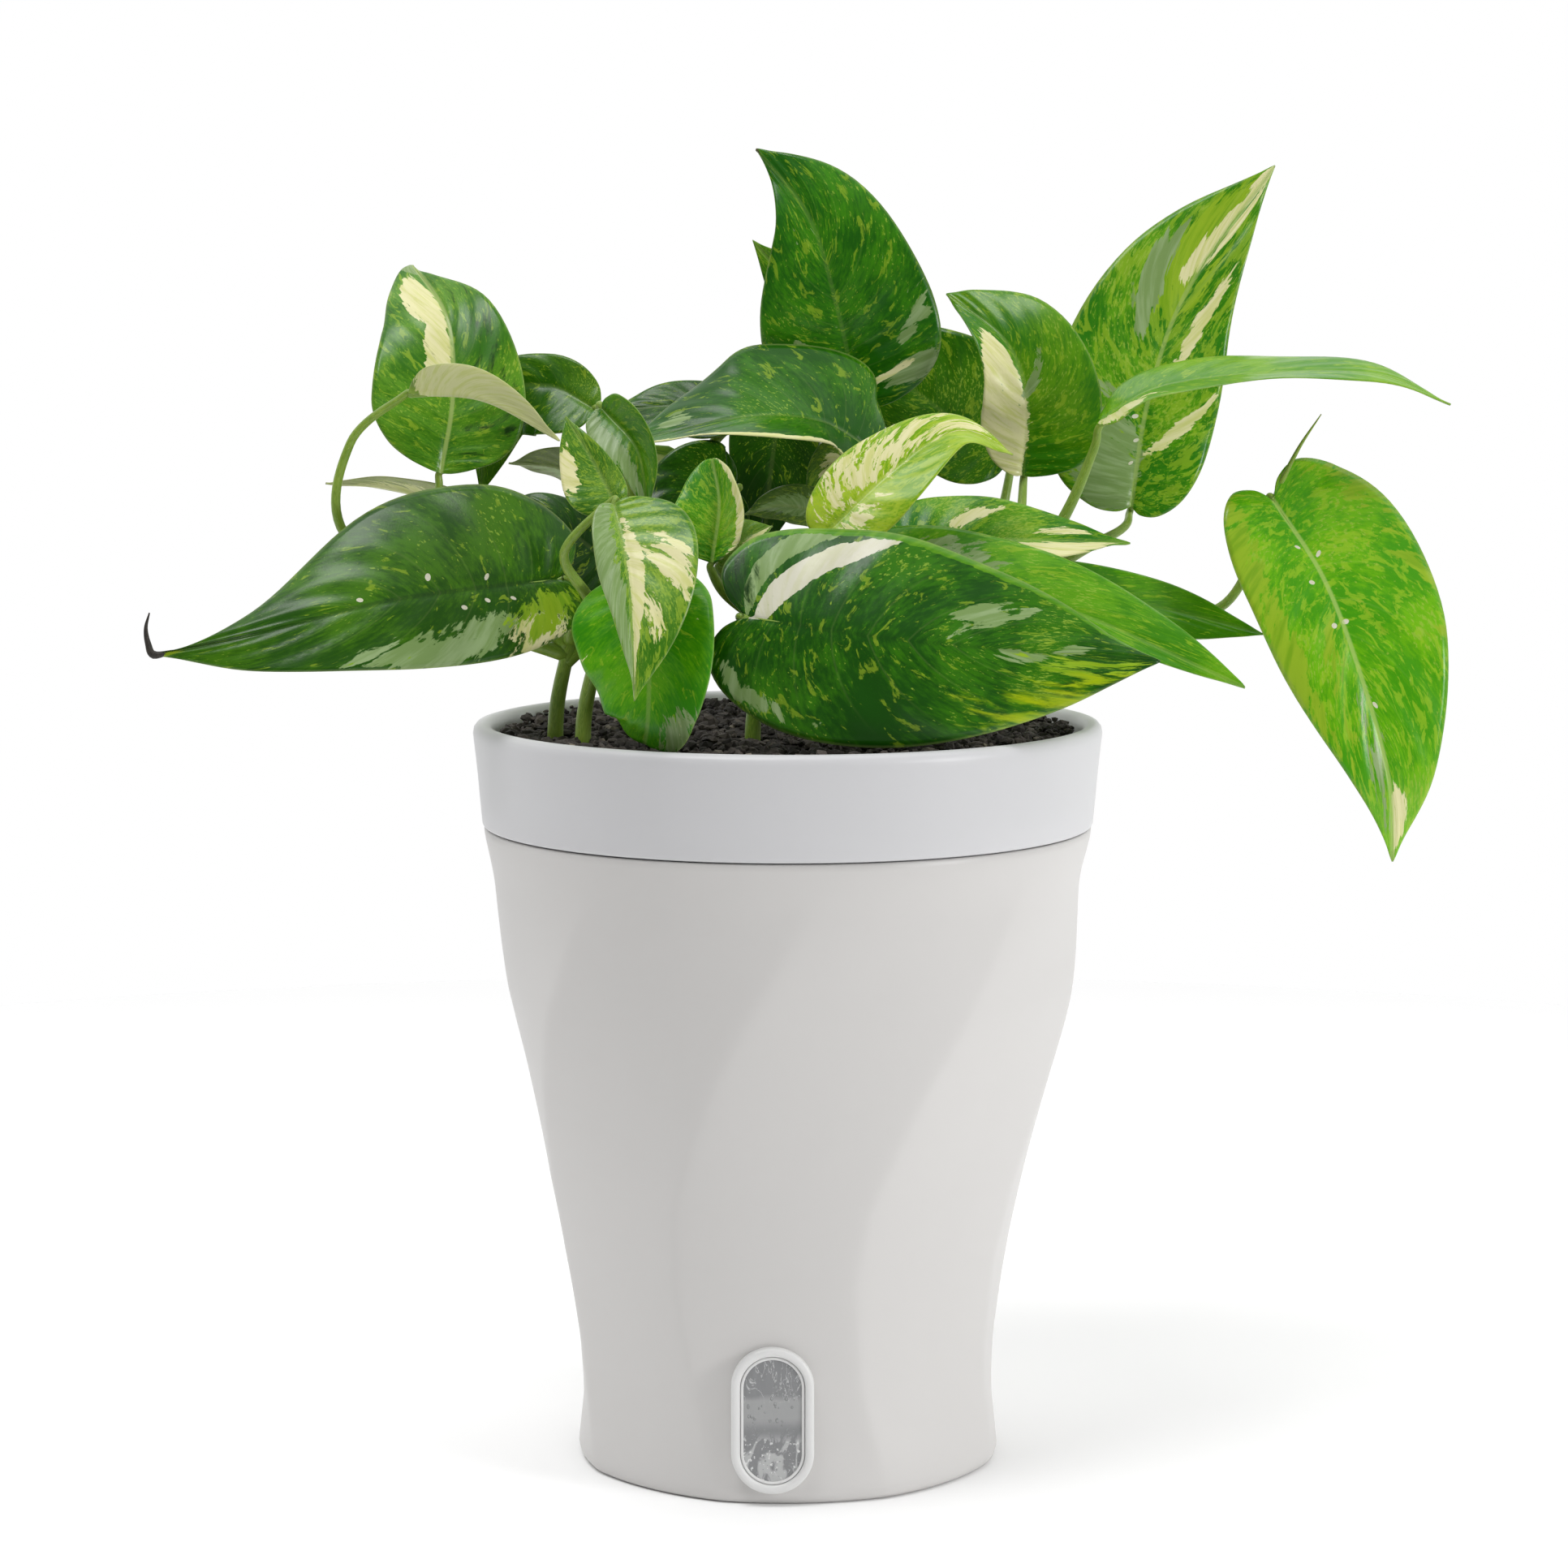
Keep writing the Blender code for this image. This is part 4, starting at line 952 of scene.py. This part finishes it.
def make_mix(ground, crumbs):
    """The mix with a rolling surface, and loose granules over it."""
    profile = list(MIX_PROFILE[:-3]) + denser(MIX_PROFILE[-3:], 3.0)
    waves = np.random.default_rng(5).uniform(0, 2 * math.pi, 6)
    mix = turned("potting_mix_live", [(r * MM, z * MM) for r, z in profile], 96, ground)
    for vertex in mix.data.vertices:
        vertex.co.z += ground_wave(vertex.co.x, vertex.co.y, waves) if vertex.co.z > 198 * MM else 0.0
    stand_for(mix, PLANTER, "potting_mix")
    add_piece(make_granules(crumbs, waves), PLANTER)


def ground_wave(x, y, waves):
    """Small rises and dips of the surface in metres."""
    value = (math.sin(55 * x + waves[0]) * math.sin(61 * y + waves[1])
             + 0.6 * math.sin(131 * x + waves[2]) * math.sin(117 * y + waves[3]))
    return 0.55 * MM * value


def make_granules(material, waves):
    """Bark and peat crumbs: jagged pebbles with flat facets, all in one mesh."""
    rng = np.random.default_rng(23)
    golden = (1 + math.sqrt(5)) / 2
    pairs = [(a, b) for a in (-1, 1) for b in (-golden, golden)]
    unit = np.array([(a, b, 0) for a, b in pairs] + [(0, a, b) for a, b in pairs]
                    + [(b, 0, a) for a, b in pairs])
    unit /= np.linalg.norm(unit[0])
    unit_faces = hull_faces(unit)
    vertices, faces, shades = [], [], []
    for _ in range(GRANULES):
        reach = MIX_RADIUS * math.sqrt(rng.random())
        turn = rng.uniform(0, 2 * math.pi)
        x, y = reach * math.cos(turn) * MM, reach * math.sin(turn) * MM
        size = GRANULE_SIZES[0] + (GRANULE_SIZES[1] - GRANULE_SIZES[0]) * rng.random() ** 2.2
        height = min(200.6 + 0.25 * size + rng.uniform(-0.6, 0.9), 202.6 - 0.4 * size)
        level = height * MM + ground_wave(x, y, waves)
        jagged = unit * rng.uniform(0.62, 1.2, (len(unit), 1))
        stretch = np.array([rng.uniform(0.7, 1.5), rng.uniform(0.6, 1.1), rng.uniform(0.5, 0.9)])
        spin = Matrix.Rotation(-rng.uniform(0, 2 * math.pi), 3, "Z")
        spun = (jagged * stretch * size * MM) @ np.array(spin)
        add_copy(vertices, faces, np.array([x, y, level]) + spun, unit_faces)
        shades += [(rng.random() ** 1.6, rng.random(), 0.0)] * len(unit)
    item = make_mesh("mix_granules", vertices, faces, material, smooth=False)
    add_vectors(item, "shade", shades)
    return item


def hull_faces(points):
    """The 20 faces of an icosahedron's corners, turned outwards."""
    edge = min(np.linalg.norm(points[0] - other) for other in points[1:]) * 1.05
    faces = []
    for corners in itertools.combinations(range(len(points)), 3):
        first, second, third = points[list(corners)]
        sides = np.linalg.norm([first - second, second - third, third - first], axis=1)
        if max(sides) < edge:
            outward = np.dot(np.cross(second - first, third - first), first + second + third) > 0
            faces.append(corners if outward else (corners[0], corners[2], corners[1]))
    return faces


# ---- each leaf's colouring ----
# For each leaf its two greens as screen colours, its marbling, how pale its midrib is or, below 0, how dark
# the painted shade in its groove, and its patches.
# The pale grey green patches are painted sheen, light caught on the glossy blades.
SKINS = {
    "leaf_far_left": ((32, 78, 2), (64, 114, 6), 0.1, -0.35,
        patch("cream", -0.72, 0.3, 0.3, 0.12, 0.42, -0.15),
        patch("silver", -0.7, 0.46, 0.34, 0.13, 0.5, -0.2), patch("lime", -0.62, 0.24, 0.34, 0.12, 0.4),
        patch("yellow", -0.6, 0.97, 0.8, 0.05, 0.8), patch("brown", 0, 1, 1.2, 0.03, 1.5),
        *dots(-0.25, 0.3, 0.42), *dots(0.1, 0.34, 0.62)),
    "leaf_left_upright": ((48, 108, 4), (88, 142, 24), 0.45, 0.75,
        patch("cream", -0.42, 0.8, 0.42, 0.12, 1.3, -0.1), patch("cream", -0.2, 0.62, 0.2, 0.16, 1.1),
        patch("silver", 0, 0.98, 1.3, 0.05, 0.9), patch("dark", 0.65, 0.45, 0.4, 0.4, 0.15)),
    "leaf_left_arched": ((84, 120, 14), (124, 150, 40), 0.3, 0.1, patch("cream", 0.3, 0.66, 1.5, 0.52, 2.4)),
    "leaf_left_back": ((36, 86, 2), (66, 114, 4), 0.3, 0.1),
    "leaf_left_narrow": ((40, 104, 3), (76, 132, 12), 0.4, 0.2, patch("silver", 0.7, 0.5, 0.4, 0.5, 0.7)),
    "leaf_centre_wide": ((26, 82, 1), (52, 112, 2), 0.28, 0.15, patch("cream", -0.97, 0.45, 0.08, 0.6, 0.7),
        patch("silver", 0.5, 0.8, 0.2, 0.05, 0.4)),
    "leaf_left_streaked": ((56, 112, 12), (100, 146, 46), 0.9, 0.3,
        patch("cream", -0.12, 0.62, 0.13, 0.42, 0.9), patch("silver", 0.7, 0.5, 0.5, 0.5, 0.7),
        patch("cream", -0.6, 0.5, 0.35, 0.08, 0.45, -0.2),
        patch("cream", -0.5, 0.68, 0.3, 0.05, 0.45, -0.2)),
    "leaf_left_lobed": ((54, 108, 10), (96, 140, 44), 0.8, 0.2, patch("cream", -0.8, 0.6, 0.3, 0.14, 0.9)),
    "leaf_front_hanging": ((50, 132, 1), (90, 162, 6), 0.15, 0.35,
        patch("silver", -0.8, 0.86, 0.35, 0.12, 0.5), patch("cream", -0.75, 0.32, 0.25, 0.04, 0.4)),
    "leaf_small_upright": ((52, 126, 3), (98, 160, 20), 0.8, 0.5, patch("cream", 0.95, 0.6, 0.2, 0.4, 0.6)),
    "leaf_small_side": ((66, 120, 14), (110, 152, 50), 0.6, 0.2, patch("cream", 0.5, 0.5, 0.4, 0.7, 0.9)),
    "leaf_front_big": ((20, 74, 1), (50, 112, 2), 0.32, -0.2,
        patch("silver", -0.62, 0.24, 0.6, 0.05, 1.3, -0.42),
        # The near black green patch by the base of the left half is painted shade, where the leaves above
        # shadow it.
        patch("white", -0.42, 0.28, 0.6, 0.055, 1.8, -0.42), patch("dark", -0.75, 0.12, 0.5, 0.14, 0.7),
        patch("green", -1, 0.62, 0.09, 0.45, 1.2), patch("silver", -0.42, 0.66, 0.36, 0.04, 0.5, -0.1),
        patch("silver", 0.12, 0.76, 0.14, 0.05, 0.6), patch("silver", -0.18, 0.84, 0.3, 0.03, 0.45),
        patch("silver", 0.85, 0.3, 0.1, 0.12, 0.4), patch("lime", 0.5, 0.86, 0.5, 0.12, 0.3),
        patch("yellow", 0.85, 0.78, 0.42, 0.18, 0.36)),
    "leaf_front_narrow": ((58, 128, 1), (94, 158, 8), 0.45, 0.2, patch("silver", -0.4, 0.42, 0.4, 0.1, 0.5)),
    "leaf_right_low": ((54, 118, 2), (84, 146, 5), 0.25, 0.1),
    "leaf_right_streaked": ((36, 110, 1), (88, 148, 12), 0.75, 0.2,
        patch("cream", 0.62, 0.55, 0.5, 0.42, 1.2), patch("cream", -0.55, 0.5, 0.3, 0.05, 0.45, -0.2),
        patch("cream", -0.5, 0.75, 0.3, 0.05, 0.45, -0.2)),
    "leaf_lime_twisted": ((112, 160, 6), (162, 190, 40), 1, 0.3, patch("cream", -0.5, 0.55, 0.5, 0.35, 0.3),
        patch("cream", 0.4, 0.3, 0.3, 0.14, 0.3)),
    "leaf_top": ((26, 92, 2), (58, 128, 4), 0.42, 0.12, patch("silver", 0.72, 0.3, 0.36, 0.06, 0.7, 0.15),
        patch("cream", 0.42, 0.26, 0.3, 0.025, 0.6, 0.25), patch("silver", 0.72, 0.44, 0.3, 0.03, 0.5, 0.2),
        patch("silver", -0.35, 0.4, 0.25, 0.03, 0.35, -0.2), patch("brown", 0, 1, 1.2, 0.02, 1.5)),
    "leaf_top_behind": ((36, 94, 2), (70, 126, 8), 0.6, 0.2, patch("silver", 0.3, 0.2, 0.5, 0.1, 0.5)),
    "leaf_rear_dark": ((36, 92, 1), (60, 116, 4), 0.6, 0.1),
    "leaf_rear_cream": ((46, 114, 1), (88, 144, 6), 0.45, 0.2, patch("cream", -0.55, 0.34, 0.6, 0.42, 2.6),
        patch("silver", 0.1, 0.55, 0.3, 0.03, 0.4, 0.2)),
    "leaf_right_tall": ((42, 118, 2), (92, 154, 12), 1, 0.6,
        patch("lime", -0.45, 0.78, 0.5, 0.16, 0.75, -0.2),
        patch("silver", -0.55, 0.66, 0.35, 0.06, 0.6, -0.2), patch("cream", 0, 0.96, 1, 0.07, 1),
        patch("cream", -0.2, 0.82, 0.22, 0.12, 0.8), patch("silver", -0.45, 0.24, 0.6, 0.22, 0.75),
        patch("cream", 0.45, 0.84, 0.4, 0.05, 0.6, 0.15), patch("cream", 0.5, 0.62, 0.35, 0.04, 0.55, 0.25),
        patch("cream", 0.5, 0.4, 0.4, 0.03, 0.5, 0.25), patch("lime", 0.3, 0.7, 0.3, 0.05, 0.4, 0.2),
        *dots(-0.1, 0.26, 0.4)),
    "leaf_right_flat": ((74, 140, 4), (116, 168, 22), 0.4, 0.2, patch("cream", 0.7, 0.25, 0.3, 0.16, 0.8)),
    "leaf_right_hanging": ((66, 148, 2), (108, 176, 6), 0.7, 0.7,
        patch("cream", -0.45, 0.9, 0.42, 0.08, 1.2), patch("lime", 0.4, 0.6, 0.3, 0.1, 0.2, 0.2),
        patch("silver", 0.35, 0.8, 0.4, 0.12, 0.28, 0.2), patch("lime", 0.85, 0.42, 0.25, 0.3, 0.45),
        patch("lime", -0.9, 0.35, 0.2, 0.3, 0.2), *dots(0.12, 0.3, 0.52), *dots(-0.08, 0.34, 0.7)),
    "leaf_left_sliver": ((130, 136, 90), (168, 168, 130), 0.5, 0.2, patch("cream", 0, 0.6, 0.6, 0.4, 0.5)),
    "leaf_left_grey": ((76, 90, 52), (110, 116, 84), 0.5, 0.2, patch("silver", 0.3, 0.5, 0.5, 0.4, 0.5)),
    "leaf_left_dark": ((22, 64, 2), (40, 88, 4), 0.3, 0.1),
    "leaf_rear_holed": ((18, 56, 2), (34, 78, 4), 0.2, 0.1),
    "leaf_rear_streaked": ((60, 108, 20), (104, 138, 54), 0.8, 0.2, patch("cream", 0.2, 0.5, 0.4, 0.2, 0.5)),
    "leaf_centre_grey": ((66, 100, 36), (104, 126, 70), 0.6, 0.2, patch("silver", 0, 0.5, 0.6, 0.5, 0.8)),
    "leaf_rear_left": ((24, 68, 2), (50, 104, 4), 0.4, 0.1),
    "leaf_centre_dark": ((22, 64, 2), (42, 94, 4), 0.3, 0.1),
    "leaf_back_low_left": ((40, 96, 3), (80, 138, 8), 0.5, 0.2,
        patch("cream", 0.4, 0.4, 0.4, 0.08, 0.8, 0.2)),
    "leaf_back_upright": ((40, 96, 3), (80, 138, 8), 0.7, 0.3,
        patch("cream", -0.4, 0.5, 0.4, 0.15, 0.8, -0.2)),
    "leaf_back_low": ((24, 68, 2), (50, 104, 4), 0.5, 0.2,
        patch("silver", -0.4, 0.4, 0.35, 0.08, 0.7, -0.2)),
    "leaf_back_low_right": ((70, 138, 2), (110, 166, 14), 0.5, 0.3,
        patch("cream", 0.4, 0.55, 0.35, 0.1, 0.8, 0.2)),
}


def make_leaves():
    for order, (name, grown) in enumerate(LEAVES.items()):
        dark, light, marbling, midrib, *patches = SKINS[name]
        skin = leaf_skin(name + "_skin", order + 1.0, dark, light, marbling, midrib, patches)
        blade = make_blade(name, grown, order + 1, skin)
        stand_for(blade, PLANTER, name)


def make_dried_tip():
    """The far left leaf ends in a dry black curl."""
    tip = LEAVES["leaf_far_left"]["midrib"][-1]
    steps = ((6, 0, 1), (0.5, 0, 0), (-1, 0, 3), (-1.5, 0, 7), (-0.5, 0, 11))
    nodes = material_nodes("dried_tip", Roughness=0.6)
    bark = nodes.noise(nodes.position(), 900.0)
    nodes.bump(bark, 0.6, 0.0006)
    black = nodes.finish(nodes.mix(bark, srgb(14, 14, 14), srgb(52, 44, 34)))
    radii = ((0.0, 0.25, 0.6, 1.0), (0.4 * MM, 1.1 * MM, 0.7 * MM, 0.2 * MM))
    make_spike("leaf_dried_tip", tip + np.array(steps) * MM, radii, black)


def make_sheath(material):
    """A thin pointed sheath that stands up behind the hanging leaf."""
    route = np.array([(131, -6, 262), (133, -6, 268), (138, -5, 278), (144, -4, 287)]) * MM
    make_spike("leaf_sheath", route, ((0.0, 0.3, 1.0), (0.8 * MM, 0.9 * MM, 0.15 * MM)), material)


def make_spike(name, route, radii, material):
    vertices, faces, run = tube(route, radii, 24)
    item = make_mesh(name, vertices, faces, material)
    add_vectors(item, "run", run)
    add_piece(item, PLANTER)


# ---- floor, lights and camera ----
def make_floor():
    nodes = material_nodes("floor_white", Roughness=0.9)
    cloud = nodes.noise(nodes.position(), 3.0, 2.0)
    material = nodes.finish(nodes.mix(cloud, srgb(251, 251, 251), srgb(254, 254, 254)))
    turns = np.linspace(0, 2 * math.pi, 96, endpoint=False)
    edge = [(FLOOR_REACH * math.cos(turn), FLOOR_REACH * math.sin(turn), 0.0) for turn in turns]
    make_mesh("floor", edge, [range(len(edge))], material)


def soft_light(name, place, target, size, power):
    light = bpy.data.lights.new(name, "AREA")
    light.shape = "DISK"
    light.size = size
    light.energy = power
    item = bpy.data.objects.new(name, light)
    item.location = place
    item.rotation_euler = (Vector(target) - Vector(place)).to_track_quat("-Z", "Y").to_euler()
    bpy.context.scene.collection.objects.link(item)


def make_studio():
    """A pale dome, brightest overhead and behind but seen as plain white, and two soft lights."""
    world = bpy.data.worlds.new("studio")
    nodes = Nodes(world, "Background", Color=(1.0, 1.0, 1.0))
    _, depth, height = nodes.split(nodes.add("TexCoord", output="Generated"))
    behind = nodes.step(depth, -0.5, 0.5, *DOME_FRONT_AND_BACK)
    above = nodes.step(height, 0.1, 1.0, 0.0, DOME_TOP)
    seen = nodes.add("LightPath", output="Is Camera Ray")
    nodes.set("Strength", nodes.add("Mix", seen, None, behind + above, 1.0))
    bpy.context.scene.world = world
    bpy.context.scene.view_settings.view_transform = "Standard"
    for light in SOFT_LIGHTS:
        soft_light(*light)


def make_camera():
    camera = bpy.data.cameras.new("photo_view")
    camera.lens = CAMERA_LENS
    camera.sensor_width = CAMERA_SENSOR
    item = bpy.data.objects.new("photo_view", camera)
    item.location = CAMERA_PLACE
    item.rotation_euler = (math.radians(90 - CAMERA_DOWN), 0.0, 0.0)
    bpy.context.scene.collection.objects.link(item)
    bpy.context.scene.camera = item


def main():
    make_studio()
    make_floor()
    make_camera()
    make_outer_pot(white_plastic("pot_white", srgb(206, 204, 202)))
    make_liner(white_plastic("rim_white", srgb(206, 206, 208)))
    make_window(white_plastic("ring_white", srgb(220, 220, 219)), wet_plastic(), water())
    make_mix(mix_ground(), granule_material())
    green = stem_material("stem_green", srgb(92, 128, 18), srgb(148, 176, 66))
    for name, points in STEMS.items():
        make_stem(name, points, green)
    make_leaves()
    make_dried_tip()
    make_sheath(green)


main()
